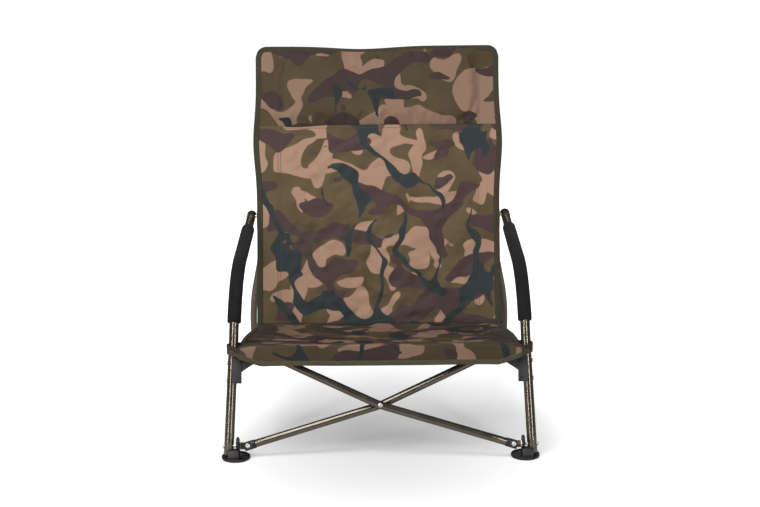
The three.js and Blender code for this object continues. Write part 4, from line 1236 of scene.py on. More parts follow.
def putOn(tree, points, part, inputs):
    shape = addNode(tree, "GeometryNodeObjectInfo", {"Object": part}).outputs["Geometry"]
    inputs = {"Points": points, "Instance": shape, **inputs}
    return addNode(tree, "GeometryNodeInstanceOnPoints", inputs).outputs[0]


def deliver(tree, shape, finish, result):
    real = addNode(tree, "GeometryNodeRealizeInstances", {0: shape})
    inputs = {"Geometry": real.outputs[0], "Material": finish}
    painted = addNode(tree, "GeometryNodeSetMaterial", inputs)
    tree.links.new(painted.outputs[0], result.inputs[0])


def buildFixingTree():
    inputs = [("Head", "Object", None), ("Tail", "Object", None), ("Shank", "Object", None)]
    tree, source, result, found = geometryTree("fixings", [*inputs, ("Finish", "Material", None)])
    points = source.outputs["Geometry"]
    axis = named(tree, "axis", "FLOAT_VECTOR")
    long = named(tree, "reach", "FLOAT")
    forward = turnTo(tree, {"Vector": axis}, axis="Z")
    turned = addNode(tree, "ShaderNodeVectorMath", {0: axis, "Scale": -1.0}, operation="SCALE")
    backward = turnTo(tree, {"Vector": turned.outputs[0]}, axis="Z")
    far = addNode(tree, "ShaderNodeVectorMath", {0: axis, "Scale": long}, operation="SCALE")
    moved = addNode(tree, "GeometryNodeSetPosition", {"Geometry": points, "Offset": far.outputs[0]})
    stretch = addNode(tree, "ShaderNodeCombineXYZ", {"X": 1.0, "Y": 1.0, "Z": long})

    def sized(label):
        inputs = {way: named(tree, label, "FLOAT") for way in "XYZ"}
        return addNode(tree, "ShaderNodeCombineXYZ", inputs)

    def place(spots, part, rotation, scale):
        inputs = {"Rotation": rotation, "Scale": scale.outputs[0]}
        return putOn(tree, spots, source.outputs[part], inputs)

    headSize, tailSize = sized("headSize"), sized("tailSize")
    heads = place(points, "Head", backward, headSize)
    tails = place(moved.outputs[0], "Tail", forward, tailSize)
    shanks = place(points, "Shank", forward, stretch)
    together = addNode(tree, "GeometryNodeJoinGeometry")
    for part in (heads, tails, shanks):
        tree.links.new(part, together.inputs[0])
    deliver(tree, together.outputs[0], source.outputs["Finish"], result)
    return tree, found


fixingTree, fixingSockets = buildFixingTree()


def helperObject(name, shell):
    mesh = meshOf(name, shell[0], faces=shell[1])
    smoothMesh(mesh, 35)
    return linked(name, mesh)


up = Vector((0, 0, 1))
origin = Vector((0, 0, 0))
rivetHead = {
    "base": ((0, -0.2), (4.8, -0.2), (4.8, 0.5)),
    "dome": (3.0, 0.4, 1.6, 8, 82, 6),
    "crown": ((1.7, 2.05), (1.35, 1.85), (1.2, 1.2), (0, 1.2)),
}
boltHead = {
    "base": ((0, -0.2), (4.7, -0.2), (4.7, 0.7)),
    "dome": (2.9, 0.9, 1.8, 0, 85, 6),
    "crown": ((2.0, 2.75), (1.9, 1.3), (0, 1.3)),
}
shankProfile = [(0, 0), (3, 0), (3, 1000), (0, 1000)]
nutLook = {"radius": 5.4, "height": 4, "rounding": 0.35}
nutTip = [(0, 3.8), (2.9, 3.8), (2.9, 5.2), (2.3, 5.8), (0, 5.8)]


def nutShell():
    turns = [turn * math.pi / 3 for turn in range(6)]
    corners = [Vector((math.cos(turn), math.sin(turn), 0)) * nutLook["radius"] * mm for turn in turns]
    hexagon = prismShell(corners, up * nutLook["height"] * mm, nutLook["rounding"])
    return joinShells([hexagon, turnedShell(nutTip, origin, up, 24)])


fixingParts = {
    "rivet": helperObject("rivetHeadShape", turnedShell(domedProfile(rivetHead), origin, up, 32)),
    "bolt": helperObject("boltHeadShape", turnedShell(domedProfile(boltHead), origin, up, 32)),
    "shank": helperObject("shankShape", turnedShell(shankProfile, origin, up, 24)),
    "nut": helperObject("nutShape", nutShell()),
}


def meshFromTree(name, carrier, tree, values):
    modifier = carrier.modifiers.new(name, "NODES")
    modifier.node_group = tree
    for identifier, value in values.items():
        modifier[identifier] = value
    bpy.context.view_layer.update()
    evaluated = carrier.evaluated_get(bpy.context.evaluated_depsgraph_get())
    mesh = bpy.data.meshes.new_from_object(evaluated)
    mesh.name = name
    bpy.data.objects.remove(carrier)
    return linked(name, mesh)


def markPoints(mesh, label, kind, key, values):
    marked = mesh.attributes.new(label, kind, "POINT")
    marked.data.foreach_set(key, np.array(values, np.float32).ravel())


def addFixings(name, spots, head, tail, body, nodes):
    mesh = meshOf(name + "Points", [spot[0] for spot in spots])
    spans = [end - start for start, end, *_ in spots]
    markPoints(mesh, "axis", "FLOAT_VECTOR", "vector", [span.normalized() for span in spans])
    markPoints(mesh, "reach", "FLOAT", "value", [span.length for span in spans])
    markPoints(mesh, "headSize", "FLOAT", "value", [spot[2] for spot in spots])
    markPoints(mesh, "tailSize", "FLOAT", "value", [spot[3] for spot in spots])
    values = {
        fixingSockets["Head"]: fixingParts[head],
        fixingSockets["Tail"]: fixingParts[tail],
        fixingSockets["Shank"]: fixingParts["shank"],
        fixingSockets["Finish"]: materials["steel"],
    }
    carrier = linked(name + "Points", mesh)
    return settle(meshFromTree(name, carrier, fixingTree, values), body, nodes)


# places of the fixings, millimetres: from and to across the chair, or front to back
fixingSpots = {
    "footPivot": (288.1, 323.3),
    "seatHeights": (136.99, 173.99),
    "seatInner": 289.2,
    "seatBeyond": 10.2,
    "clevisHalf": 11.8,
    "armPivot": (279.2, 304.8),
    "rearLeg": (261.7, 281.9),
    "rearCross": (11.2, 49.5),
    "boltHalf": 16.6,
}


def seatRivetSpot(side, height):
    spot = legSpot(side, height * math.cos(layout["recline"]) + layout["crossHeight"])
    start = Vector((side * fixingSpots["seatInner"] * mm, spot.y, spot.z))
    return start, Vector((spot.x + side * fixingSpots["seatBeyond"] * mm, spot.y, spot.z))


def addSideFixings(side, word):
    def rivets(name, body, spots, nodes):
        nodes = [f"{node}_{word}" for node in nodes]
        addFixings(f"{name}_{word}", spots, "rivet", "rivet", f"{body}_{word}", nodes)

    depth, height = layout["crossDepth"], layout["crossHeight"]
    pivot = [at(side * out, depth, height) for out in fixingSpots["footPivot"]]
    spots = [(*pivot, 0, 1)]
    spots += [(*seatRivetSpot(side, height), 0, 1) for height in fixingSpots["seatHeights"]]
    rivets("armFixings", "arm", spots, ["foot_pivot_rivet", "seat_rivet_lower", "seat_rivet_upper"])
    half, back, reach = side * crossLook["half"], -side * crossLook["offset"], fixingSpots["clevisHalf"]
    spots = [(onCross(half, back - reach, 0), onCross(half, back + reach, 0), 1, 0.7)]
    rivets("clevisRivet", "clevis", spots, ["clevis_rivet"])
    armPivot = [onBack(side * out, 0, 0) for out in fixingSpots["armPivot"]]
    deep, drop = rearFrame["back"], rearFrame["drop"]
    rearLeg = [onBack(side * out, deep, -drop) for out in fixingSpots["rearLeg"]]
    rearCross = [onBack(half, deep, crossLook["rearLow"]) for deep in fixingSpots["rearCross"]]
    spots = [(*armPivot, 0.4, 1), (*rearLeg, 1, 0.7), (*rearCross, 0, 1)]
    rivets("postFixings", "post", spots, ["arm_pivot_pin", "rear_leg_pin", "rear_cross_pin"])


for side, word in sides:
    addSideFixings(side, word)
for where, place, low, middle, _ in crosses:
    rise = low + crossLook["boltRise"]
    ends = [place(0, middle + way * fixingSpots["boltHalf"], rise) for way in (-1, 1)]
    nodes = [f"{where}_cross_bolt"]
    addFixings(f"{where}CrossBolt", [(*ends, 1, 1)], "bolt", "nut", f"{where}_cross_a", nodes)
for helper in fixingParts.values():
    bpy.data.objects.remove(helper)
print("rivets and bolts made")


# stitches, by Geometry Nodes: one thread loop every few millimetres along marked lines
stitchLook = {"length": 3.4, "width": 0.75, "height": 0.55, "pitch": 4.6, "sides": 6, "turn": 80}


def buildStitchTree():
    inputs = [("Stitch", "Object", None), ("Pitch", "Float", 0.0045), ("Thread", "Material", None)]
    tree, source, result, found = geometryTree("stitches", inputs)
    line = addNode(tree, "GeometryNodeMeshToCurve", {"Mesh": source.outputs["Geometry"]})
    inputs = {"Curve": line.outputs[0], "Length": source.outputs["Pitch"]}
    even = addNode(tree, "GeometryNodeResampleCurve", inputs, mode="LENGTH")
    tangent = addNode(tree, "GeometryNodeInputTangent").outputs[0]
    along = turnTo(tree, {"Vector": tangent}, axis="X")
    facing = named(tree, "facing", "FLOAT_VECTOR")
    upright = turnTo(tree, {"Rotation": along, "Vector": facing}, axis="Z", pivot_axis="X")
    sewn = putOn(tree, even.outputs[0], source.outputs["Stitch"], {"Rotation": upright})
    deliver(tree, sewn, source.outputs["Thread"], result)
    return tree, found


stitchTree, stitchSockets = buildStitchTree()


def stitchShell():
    look, rings = stitchLook, []
    parts = [side / look["sides"] * math.tau for side in range(look["sides"])]
    for step in range(5):
        turn = math.radians(lerp(-look["turn"], look["turn"], step / 4))
        wide, high = look["width"] * math.cos(turn), look["height"] * math.cos(turn)
        centre = Vector((look["length"] / 2 * math.sin(turn), 0, 0)) * mm
        ring = [Vector((0, wide * math.cos(part), high * math.sin(part))) for part in parts]
        rings.append([centre + spot * mm for spot in ring])
    return skin(rings)


def addStitches(name, lines, body):
    points, edges, facings = [], [], []
    for path, normals in lines:
        start = len(points)
        points += path
        facings += normals
        edges += [(start + index, start + index + 1) for index in range(len(path) - 1)]
    mesh = meshOf(name + "Lines", points, edges)
    markPoints(mesh, "facing", "FLOAT_VECTOR", "vector", facings)
    carrier = linked(name + "Lines", mesh)
    stitch = helperObject("stitchShape", stitchShell())
    values = {
        stitchSockets["Stitch"]: stitch,
        stitchSockets["Pitch"]: stitchLook["pitch"] * mm,
        stitchSockets["Thread"]: materials["thread"],
    }
    piece = meshFromTree(name, carrier, stitchTree, values)
    bpy.data.objects.remove(stitch)
    return settle(piece, body, [])


# cloth: a sheet is two grids of points, front and rear, and the rim between them
def sheetFaces(rows, columns):
    size = rows * columns
    faces, marks = [], []
    for row in range(rows - 1):
        for column in range(columns - 1):
            start = row * columns + column
            face = (start, start + 1, start + columns + 1, start + columns)
            faces += [face, tuple(size + index for index in face[::-1])]
            marks += [0, 1]
    border = list(range(columns - 1))
    border += [row * columns + columns - 1 for row in range(rows - 1)]
    border += [(rows - 1) * columns + column for column in range(columns - 1, 0, -1)]
    border += [row * columns for row in range(rows - 1, 0, -1)]
    for first, second in zip(border, border[1:] + border[:1]):
        faces.append((second, first, size + first, size + second))
        marks.append(0)
    return faces, marks


def sheetShell(grid, uvGrid, thickness):
    normals = np.cross(np.gradient(grid, axis=1), np.gradient(grid, axis=0))
    normals /= np.maximum(np.linalg.norm(normals, axis=2, keepdims=True), 1e-12)
    front = grid + normals * thickness * mm / 2
    rear = grid - normals * thickness * mm / 2
    points = np.concatenate([front.reshape(-1, 3), rear.reshape(-1, 3)])
    uvs = np.concatenate([uvGrid.reshape(-1, 2)] * 2)
    return points, *sheetFaces(*grid.shape[:2]), uvs


# rows are pairs: the points of a row and their places in the print
def gridFrom(rows, flip=False):
    grid, uvGrid = (np.array(part, float) for part in zip(*rows))
    return (grid[:, ::-1], uvGrid[:, ::-1]) if flip else (grid, uvGrid)


# how far each point of a flat route is from its start
def measured(route):
    travelled, lengths = 0.0, []
    for index, (x, y) in enumerate(route):
        if index:
            travelled += math.hypot(x - route[index - 1][0], y - route[index - 1][1])
        lengths.append(travelled)
    return lengths


def joinSheets(sheets):
    shells = [([Vector(point) for point in points], faces) for points, faces, _, _ in sheets]
    marks = [mark for _, _, sheetMarks, _ in sheets for mark in sheetMarks]
    uvs = [spot for _, _, _, sheetUvs in sheets for spot in sheetUvs]
    return joinShells(shells), uvs, marks


# a flat tape folded over an edge: path, the cloth's normal, and the way into the cloth
def tapeShell(path, normals, inward, width, thickness):
    corner = thickness / 2
    section = []
    for centre, start in ((width - corner, -90), (0, 90)):
        for step in range(7):
            turn = math.radians(start + step * 30)
            section.append((centre + corner * math.cos(turn), corner * math.sin(turn)))
    rings, uvs, travelled = [], [], 0.0
    for index, point in enumerate(path):
        if index:
            travelled += (point - path[index - 1]).length
        into, facing = inward[index], normals[index]
        rings.append([point + into * across * mm + facing * lift * mm for across, lift in section])
        uvs += [(travelled, across * mm + (0.02 if lift < 0 else 0)) for across, lift in section]
    return skin(rings), uvs


def joinTapes(tapes):
    return joinShells([shell for shell, _ in tapes]), [spot for _, uvs in tapes for spot in uvs]


backLook = {
    "top": 395,
    "bottom": -249.5,
    "edgeHalf": 277.5,
    "topWiden": 3.5,
    "bulge": 7.5,
    "bulgeAt": 170,
    "bulgeSpan": 75,
    "corner": 23,
    "topSag": 7,
    "front": -10.5,
    "seamHalf": 232,
    "thickness": 1.4,
    "across": 132,
    "along": 158,
    # noise in the cloth: height, share and slant across, share along, size and seed
    "waves": (5.0, 1, 0.35, 0.45, 54, 3.1),
    "ripples": (3.8, 1, -0.5, 1, 25, 7.7),
    "crumples": (1.8, 1, 0.4, 1, 12, 1.3),
    "lowFolds": (3.0, 0.5, 0, 1.3, 24, 5.5),
    "creaseShare": 1.7,
    "sewnAt": 206,
    # soft creases: from (x, up) to (x, up), width and depth, millimetres
    "creases": (
        (-148, 118, -118, 78, 22, 3.4),
        (-118, 78, -66, -22, 20, 2.6),
        (-96, 60, -40, -50, 16, -2.0),
        (-175, 112, -150, 124, 8, 1.4),
        (-60, -118, -10, -172, 7, 1.6),
        (-44, -100, 20, -150, 9, -1.6),
        (-36, -160, 40, -196, 8, 1.5),
        (120, -150, 176, -186, 9, 1.8),
        (146, -128, 222, -158, 9, -1.6),
        (86, 120, 30, 20, 24, 2.2),
        (180, 96, 120, -30, 26, 2.0),
        (60, 60, 96, -80, 20, -1.8),
        (-216, 60, -190, -90, 16, 1.5),
        (214, 70, 196, -60, 16, 1.5),
        (-190, -182, -120, -214, 9, 2.0),
        (-130, -176, -96, -222, 8, -1.6),
        (60, -196, 150, -222, 9, 1.8),
        (-20, 200, 10, 120, 22, 1.4),
        (110, 204, 132, 150, 18, 1.4),
        (-210, 196, -196, 130, 14, 1.3),
    ),
}


def backHalf(up):
    rise = min(max(up / backLook["top"], 0), 1)
    bulge = backLook["bulge"] * bump(up, backLook["bulgeAt"], backLook["bulgeSpan"])
    return backLook["edgeHalf"] + backLook["topWiden"] * rise + bulge


def backTopAt(x):
    half, corner = backHalf(backLook["top"]), backLook["corner"]
    inCorner = max(abs(x) - (half - corner), 0)
    rounding = corner - math.sqrt(max(corner**2 - inCorner**2, 0))
    return backLook["top"] - rounding - backLook["topSag"] * bump(x, -half * 0.125, half * 0.33)


def creaseDepth(x, up, creases):
    total = 0.0
    for x0, up0, x1, up1, width, depth in creases:
        dx, dy = x1 - x0, up1 - up0
        long = math.hypot(dx, dy)
        share = ((x - x0) * dx + (up - up0) * dy) / (long * long)
        if -0.35 < share < 1.35:
            across = abs((x - x0) * dy - (up - up0) * dx) / long
            if across < width * 3:
                fade = math.sin(min(max((share + 0.35) / 1.7, 0), 1) * math.pi)
                total += depth * fade * math.exp(-((across / width) ** 2))
    return total


def softNoise(x, up, scale, seed):
    return noise.noise(Vector((x / scale, up / scale, seed)))


def foldAt(x, up, look):
    height, wide, slant, tall, scale, seed = look
    return height * softNoise(x * wide + up * slant, up * tall, scale, seed)


def backRelief(x, up):
    inside = 1 - smoothStep(abs(x), backLook["seamHalf"] * 0.86, backLook["seamHalf"])
    drape = foldAt(x, up, backLook["waves"]) + foldAt(x, up, backLook["ripples"])
    crumple = foldAt(x, up, backLook["crumples"])
    sewn = (1 - 0.8 * bump(up, backLook["sewnAt"], 14)) * (1 - bump(up, backLook["bottom"], 9))
    low = smoothStep(-up, 130, 225) * foldAt(x, up, backLook["lowFolds"])
    covered = 1 - 0.92 * smoothStep(up, 200, 212)
    creases = backLook["creaseShare"] * creaseDepth(x, up, backLook["creases"])
    folds = creases * (0.08 + 0.92 * inside)
    return covered * (inside * sewn * (drape + crumple + low) - folds)


def backSpot(u, v):
    reach = u * backHalf(backLook["top"])
    up = lerp(backLook["bottom"], backTopAt(reach), v)
    x = u * backHalf(up)
    return x, backLook["front"] + backRelief(x, up), up


def backGrid():
    rows, across, along = [], backLook["across"], backLook["along"]
    for row in range(along + 1):
        spots = [backSpot(column / across * 2 - 1, row / along) for column in range(across + 1)]
        rows.append(([onBack(*spot) for spot in spots], [(x * mm, up * mm) for x, _, up in spots]))
    return gridFrom(rows)


pocketLook = {
    "radius": 11.2,
    "turn": (128, -18),
    "turns": 26,
    "rows": 60,
    "bands": ((-246.5, -128.9), (14.5, 370)),  # between the brackets
}


def pocketRoute(side, up):
    half, front, steps = postFrame["half"], backLook["front"], pocketLook["turns"]
    route = [(backLook["seamHalf"], front + 1.7)]
    route.append((lerp(backLook["seamHalf"], half, 0.45), 3.0 + 1.2 * softNoise(up, 9, 34, 4.4)))
    for step in range(steps + 1):
        turn = math.radians(lerp(*pocketLook["turn"], step / steps))
        puff = 0.6 * softNoise(up, step * 3, 30, 6.0 + side) * math.sin(step / steps * math.pi)
        swell = pocketLook["radius"] + puff
        out, back = swell * math.cos(turn), max(swell, pocketLook["radius"]) * math.sin(turn)
        route.append((half + out, back))
    route.append((max(backHalf(up) - 1.4, half + 10.5), front + 1.2))
    return route


def pocketGrid(side, low, high):
    rows = []
    for row in range(pocketLook["rows"] + 1):
        up = lerp(low, high, row / pocketLook["rows"])
        route = pocketRoute(side, up)
        line = [onBack(side * x, back, up) for x, back in route]
        rows.append((line, [(side * (0.5 - long * mm), up * mm) for long in measured(route)]))
    return gridFrom(rows, side > 0)


def addBack():
    shell, uvs, marks = joinSheets([sheetShell(*backGrid(), backLook["thickness"])])
    soft = (75, uvs, marks, ("reverse",))
    return addPiece("backCloth", shell, "print", "post_left", ["back_sling"], *soft)


def addPocket(side, word):
    bands = [pocketGrid(side, low, high) for low, high in pocketLook["bands"]]
    shell, uvs, _ = joinSheets([sheetShell(*band, backLook["thickness"]) for band in bands])
    return addPiece(f"backPocket_{word}", shell, "print", f"post_{word}", [], 75, uvs)


backCloth = addBack()
pockets = [addPocket(side, word) for side, word in sides]
print("back cloth and pockets made")

# headrest: a stuffed panel sewn to the back, blown up as cloth between its seams
padLook = {
    "low": 211,
    "dip": (4.5, -190, 50),
    "topInset": 3,
    "sideInset": 4,
    "seamHalf": 234,
    "depth": 7.5,
    "lift": 0.2,
    "skin": 1.1,
    "freeFrom": 0.22,
    "frames": 20,
    "cap": 4.5,
    "gather": -0.045,
    "cloth": {
        "quality": 6,
        "mass": 0.3,
        "tension_stiffness": 14,
        "compression_stiffness": 5,
        "shear_stiffness": 5,
        "bending_stiffness": 0.06,
        "use_pressure": True,
        "uniform_pressure_force": 4.0,
    },
    "waves": (2.0, 1, 0.6, 0.6, 44, 11.0),
    "ripples": (1.1, 1, 0, 1, 19, 12.0),
    "puckers": (1.3, 1, 0, 0.2, 11, 13.0),
    "across": 112,
    "along": 38,
    "printShift": (0.47, 0.38),
}


def padSpot(column, row):
    u, v = column / padLook["across"] * 2 - 1, row / padLook["along"]
    guess = u * backHalf(300)
    high = backTopAt(guess) - padLook["topInset"]
    deep, centre, span = padLook["dip"]
    up = lerp(padLook["low"] - deep * bump(guess, centre, span), high, v)
    return u * (backHalf(up) - padLook["sideInset"]), up, v


def padCrown(x, v):
    side = smoothStep(padLook["seamHalf"] - abs(x), 0, 26) ** 0.5
    return side * smoothStep(v, 0, 0.16) ** 0.5 * smoothStep(1 - v, 0, 0.2) ** 0.5


def padMesh():
    across, along = padLook["across"], padLook["along"]
    points, free = [], []
    for isFront in (True, False):
        for row in range(along + 1):
            for column in range(across + 1):
                x, up, v = padSpot(column, row)
                rear = backLook["front"] + backRelief(x, up) - padLook["lift"]
                crown = padCrown(x, v)
                back = rear - (padLook["skin"] + padLook["depth"] * crown if isFront else 0)
                points.append(onBack(x, back, up))
                free.append(isFront and crown > padLook["freeFrom"])
    return points, sheetFaces(along + 1, across + 1)[0], free


def blowUp(points, faces, free):
    work = linked("padWork", meshOf("padWork", points, faces=faces))
    held = work.vertex_groups.new(name="sewn")
    held.add([index for index, loose in enumerate(free) if not loose], 1.0, "REPLACE")
    cloth = work.modifiers.new("blowUp", "CLOTH")
    for key, value in padLook["cloth"].items():
        setattr(cloth.settings, key, value)
    cloth.settings.effector_weights.gravity = 0
    cloth.settings.vertex_group_mass = "sewn"
    cloth.settings.shrink_min = padLook["gather"]
    cloth.point_cache.frame_start = 1
    cloth.point_cache.frame_end = padLook["frames"]
    for step in range(1, padLook["frames"] + 1):
        bpy.context.scene.frame_set(step)
    puffed = work.evaluated_get(bpy.context.evaluated_depsgraph_get()).to_mesh()
    places = [vert.co.copy() for vert in puffed.vertices]
    bpy.data.objects.remove(work)
    bpy.context.scene.frame_set(1)
    limit = padLook["cap"] * mm
    capped = []
    for before, after in zip(points, places):
        move = after - before
        capped.append(before + move * min(1, limit / max(move.length, 1e-9)))
    return capped


def addPad():
    points, faces, free = padMesh()
    points = blowUp(points, faces, free)
    shaped, uvs = [], []
    printX, printUp = padLook["printShift"]
    for point, loose in zip(points, free):
        x, back, up = localOf(point)
        if loose:
            back += foldAt(x, up, padLook["waves"]) + foldAt(x, up, padLook["ripples"])
            back += foldAt(x, up, padLook["puckers"]) * bump(up, padLook["low"] + 14, 16)
        shaped.append(onBack(x, back, up))
        uvs.append((x * mm + printX, up * mm + printUp))
    piece = addPiece("headrest", (shaped, faces), "padPrint", "post_left", ["headrest_pad"], 80, uvs)
    subdivide = piece.modifiers.new("smooth", "SUBSURF")
    subdivide.levels = subdivide.render_levels = 1
    bpy.context.view_layer.update()
    evaluated = piece.evaluated_get(bpy.context.evaluated_depsgraph_get())
    finished = bpy.data.meshes.new_from_object(evaluated)
    piece.modifiers.clear()
    piece.data = finished
    return piece


def localOf(point):
    offset = Vector(point) - onBack(0, 0, 0)
    return offset.x / mm, offset.dot(leanBack) / mm, offset.dot(leanUp) / mm


headrest = addPad()
print("headrest made")


# back binding and seams
tapeLook = {
    "width": 12,
    "thickness": 3.6,
    "overEdge": 1.2,
    "lineInset": 7.6,
    "sideSteps": 120,
    "topSteps": 140,
}


def backEdgePath():
    steps, topSteps = tapeLook["sideSteps"], tapeLook["topSteps"]
    path = [backSpot(-1, step / steps) for step in range(steps + 1)]
    path += [backSpot(step / topSteps * 2 - 1, 1) for step in range(1, topSteps)]
    path += [backSpot(1, 1 - step / steps) for step in range(steps + 1)]
    return [onBack(*spot) for spot in path]


# the way across an edge, turned toward a point
def toward(way, place, target):
    return way if way.dot(target - place) > 0 else -way


def addBackTape():
    spots = backEdgePath()
    middle = onBack(0, backLook["front"], 70)
    normals = [-leanBack] * len(spots)
    inward = []
    for index, spot in enumerate(spots):
        across = spanAt(spots, index).normalized().cross(-leanBack).normalized()
        inward.append(toward(across, spot, middle))
    path = [spot - way * tapeLook["overEdge"] * mm for spot, way in zip(spots, inward)]
    shell, uvs = tapeShell(path, normals, inward, tapeLook["width"], tapeLook["thickness"])
    piece = addPiece("backBinding", shell, "binding", "post_left", [], 70, uvs)
    inset, lift = tapeLook["lineInset"] - 0.2, tapeLook["thickness"] / 2 + 0.1
    line = [spot + way * inset * mm - leanBack * lift * mm for spot, way in zip(spots, inward)]
    return piece, (line, normals)


backBinding, bindingLine = addBackTape()


seamLook = {
    "back": (-244, 208, 150, (0, 6)),  # from, to, steps and insets of the double lines
    "pad": (216, 376, 90, (-2, 4)),
    "cross": (268, 204, 180),  # half width, height and steps
    "lift": 0.25,
    "padLift": 0.9,
}


def backLine(spots, lift):
    front = backLook["front"]
    half = backLook["thickness"] / 2
    line = [onBack(x, front + backRelief(x, up) - half - lift, up) for x, up in spots]
    return line, [-leanBack] * len(spots)


def doubleLines(side, seamHalf, run, lift):
    low, high, steps, insets = run
    for inset in insets:
        spots = [(side * (seamHalf - inset), lerp(low, high, step / steps)) for step in range(steps + 1)]
        yield backLine(spots, lift)


def backSeams():
    lines = [bindingLine]
    for side, _ in sides:
        lines += doubleLines(side, backLook["seamHalf"], seamLook["back"], seamLook["lift"])
        lines += doubleLines(side, padLook["seamHalf"], seamLook["pad"], seamLook["padLift"])
    half, up, steps = seamLook["cross"]
    across = [(lerp(-half, half, step / steps), up) for step in range(steps + 1)]
    return [*lines, backLine(across, seamLook["lift"])]


backStitches = addStitches("backStitches", backSeams(), "post_left")
print("back binding and seams made")

# seat cloth
seatLook = {
    "rearDepth": layout["meanDepth"] + 87.686,
    "rearHeight": 166.876,
    "creaseDepth": 22.04,
    "creaseHeight": 235.97,
    "rearHalf": 273,
    "frontHalf": 290,
    "stripDrop": 39,
    "cornerDrop": 17,
    "cornerDip": 9,
    "cornerReach": 0.83,
    "middleDroop": 3,
    "sag": 12,
    "long": 420,
    "wander": (14, 1, 0, 1, 160, 8.2),
    "ripples": (8.0, 4.1),  # height and seed; they wander along the seat
    "fineRipples": (3.0, 0.4, 0, 1, 16, 9.2),
    "crossing": (1.2, 1, 0, 0.5, 34, 2.9),
    "wave": (0.9, 46, 6.6),
    "loopRadius": 12.4,
    "loopRear": 15,
    "across": 150,
    "topRows": 120,
    "stripRows": 16,
    "thickness": 1.4,
}


def seatHalf(share):
    return lerp(seatLook["rearHalf"], seatLook["frontHalf"], math.sin(share * math.pi / 2) ** 1.3)


def seatTop(u, share):
    depth = lerp(seatLook["rearDepth"], seatLook["creaseDepth"], share)
    x = u * seatHalf(share)
    sag = seatLook["sag"] * (1 - u * u) * math.sin(share * math.pi)
    calm = smoothStep(share, 0.0, 0.05) * (1 - smoothStep(share, 0.8, 0.97)) * (1 - abs(u) ** 6)
    along = share * seatLook["long"]
    high, seed = seatLook["ripples"]
    ripple = high * softNoise(x * 0.2, along + foldAt(x, along, seatLook["wander"]), 34, seed)
    ripple += foldAt(x, along, seatLook["fineRipples"])
    crossing = foldAt(x, along, seatLook["crossing"])
    plain = lerp(seatLook["rearHeight"], seatLook["creaseHeight"], share)
    height = plain - sag + calm * (ripple + crossing)
    height -= seatLook["cornerDip"] * abs(u) ** 8 * smoothStep(share, 0.55, 1)
    return x, depth, height


def seatSpot(u, row):
    if row <= seatLook["topRows"]:
        return seatTop(u, row / seatLook["topRows"])
    down = (row - seatLook["topRows"]) / seatLook["stripRows"]
    x, depth, height = seatTop(u, 1)
    towardLeg = max(abs(u) - seatLook["cornerReach"], 0) / (1 - seatLook["cornerReach"])
    middleDrop = seatLook["stripDrop"] + seatLook["middleDroop"] * (1 - u * u)
    drop = lerp(middleDrop, seatLook["cornerDrop"], towardLeg**1.3)
    high, scale, seed = seatLook["wave"]
    wave = high * softNoise(x, down * 20, scale, seed)
    wave *= math.sin(min(down * 1.3, 1) * math.pi / 2) * (1 - abs(u) ** 10)
    return x, depth - 1.4 * math.sin(down * math.pi / 2) - wave, height - drop * down


def seatGrid():
    across, top = seatLook["across"], seatLook["topRows"]
    count = top + seatLook["stripRows"] + 1
    lengths = measured([seatSpot(0, row)[1:] for row in range(count)])
    rows = []
    for row, long in enumerate(lengths):
        spots = [seatSpot(column / across * 2 - 1, row) for column in range(across + 1)]
        uvLine = [(x * mm, (backLook["bottom"] - long) * mm) for x, _, _ in spots]
        rows.append(([at(*spot) for spot in spots], uvLine))
    grid, uvGrid = gridFrom(rows)
    for _ in range(2):  # the crease over the front edge is rounded, not folded sharp
        band, upper, lower = (slice(top - 4 + shift, top + 4 + shift) for shift in (0, -1, 1))
        grid[band] = (grid[band] * 2 + grid[upper] + grid[lower]) / 4
    return grid[::-1], uvGrid[::-1]


def addSeat():
    grids = [seatGrid(), *(loopGrid(side) for side, _ in sides)]
    grids += [*(underlayGrid(side) for side, _ in sides), hemGrid()]
    shell, uvs, marks = joinSheets([sheetShell(*grid, seatLook["thickness"]) for grid in grids])
    soft = (75, uvs, marks, ("reverse",))
    return addPiece("seatCloth", shell, "seatPrint", "seat", ["seat_sling"], *soft)


# the seat's rear edge turns under the back's lower edge, where the two are sewn
rearHem = {
    "route": ((-1.6, -1.2), (0.2, -2.0), (2.2, -1.9), (4.0, -0.6), (5.0, 1.2), (5.6, 3.2)),
    "inset": 3,
    "across": 40,
}


def hemGrid():
    half, across = seatLook["rearHalf"] - rearHem["inset"], rearHem["across"]
    spans = [(column / across * 2 - 1) * half for column in range(across + 1)]
    rows = []
    for index, (back, rise) in enumerate(rearHem["route"]):
        depth, height = seatLook["rearDepth"] + back, seatLook["rearHeight"] + rise
        uvLine = [(x * mm, (backLook["bottom"] + index * 3) * mm) for x in spans]
        rows.append(([at(x, depth, height) for x in spans], uvLine))
    return gridFrom(rows)


# the lining that shows under the strip where it rises to the leg
underlay = {  # from the middle toward the leg
    "half": (238, 289),
    "top": (24, 17),
    "low": (1.5, 6.5),
    "behind": (1.2, 5.5),
    "bow": 1.2,
    "rows": 6,
    "across": 12,
}


def underlayGrid(side):
    rows, count, across = [], underlay["rows"], underlay["across"]
    for row in range(count + 1):
        line, uvLine = [], []
        for column in range(across + 1):
            half, fromTop, overLow, behind = (
                lerp(*underlay[key], column / across) for key in ("half", "top", "low", "behind")
            )
            low = seatLook["creaseHeight"] - seatLook["stripDrop"] + overLow
            height = lerp(low, seatLook["creaseHeight"] - fromTop, row / count)
            bow = underlay["bow"] * math.sin(row / count * math.pi)
            line.append(at(side * half, seatLook["creaseDepth"] + behind + bow, height))
            uvLine.append((side * half * mm + 1.5, 0.3 + height * mm))
        rows.append((line, uvLine))
    return gridFrom(rows, side < 0)


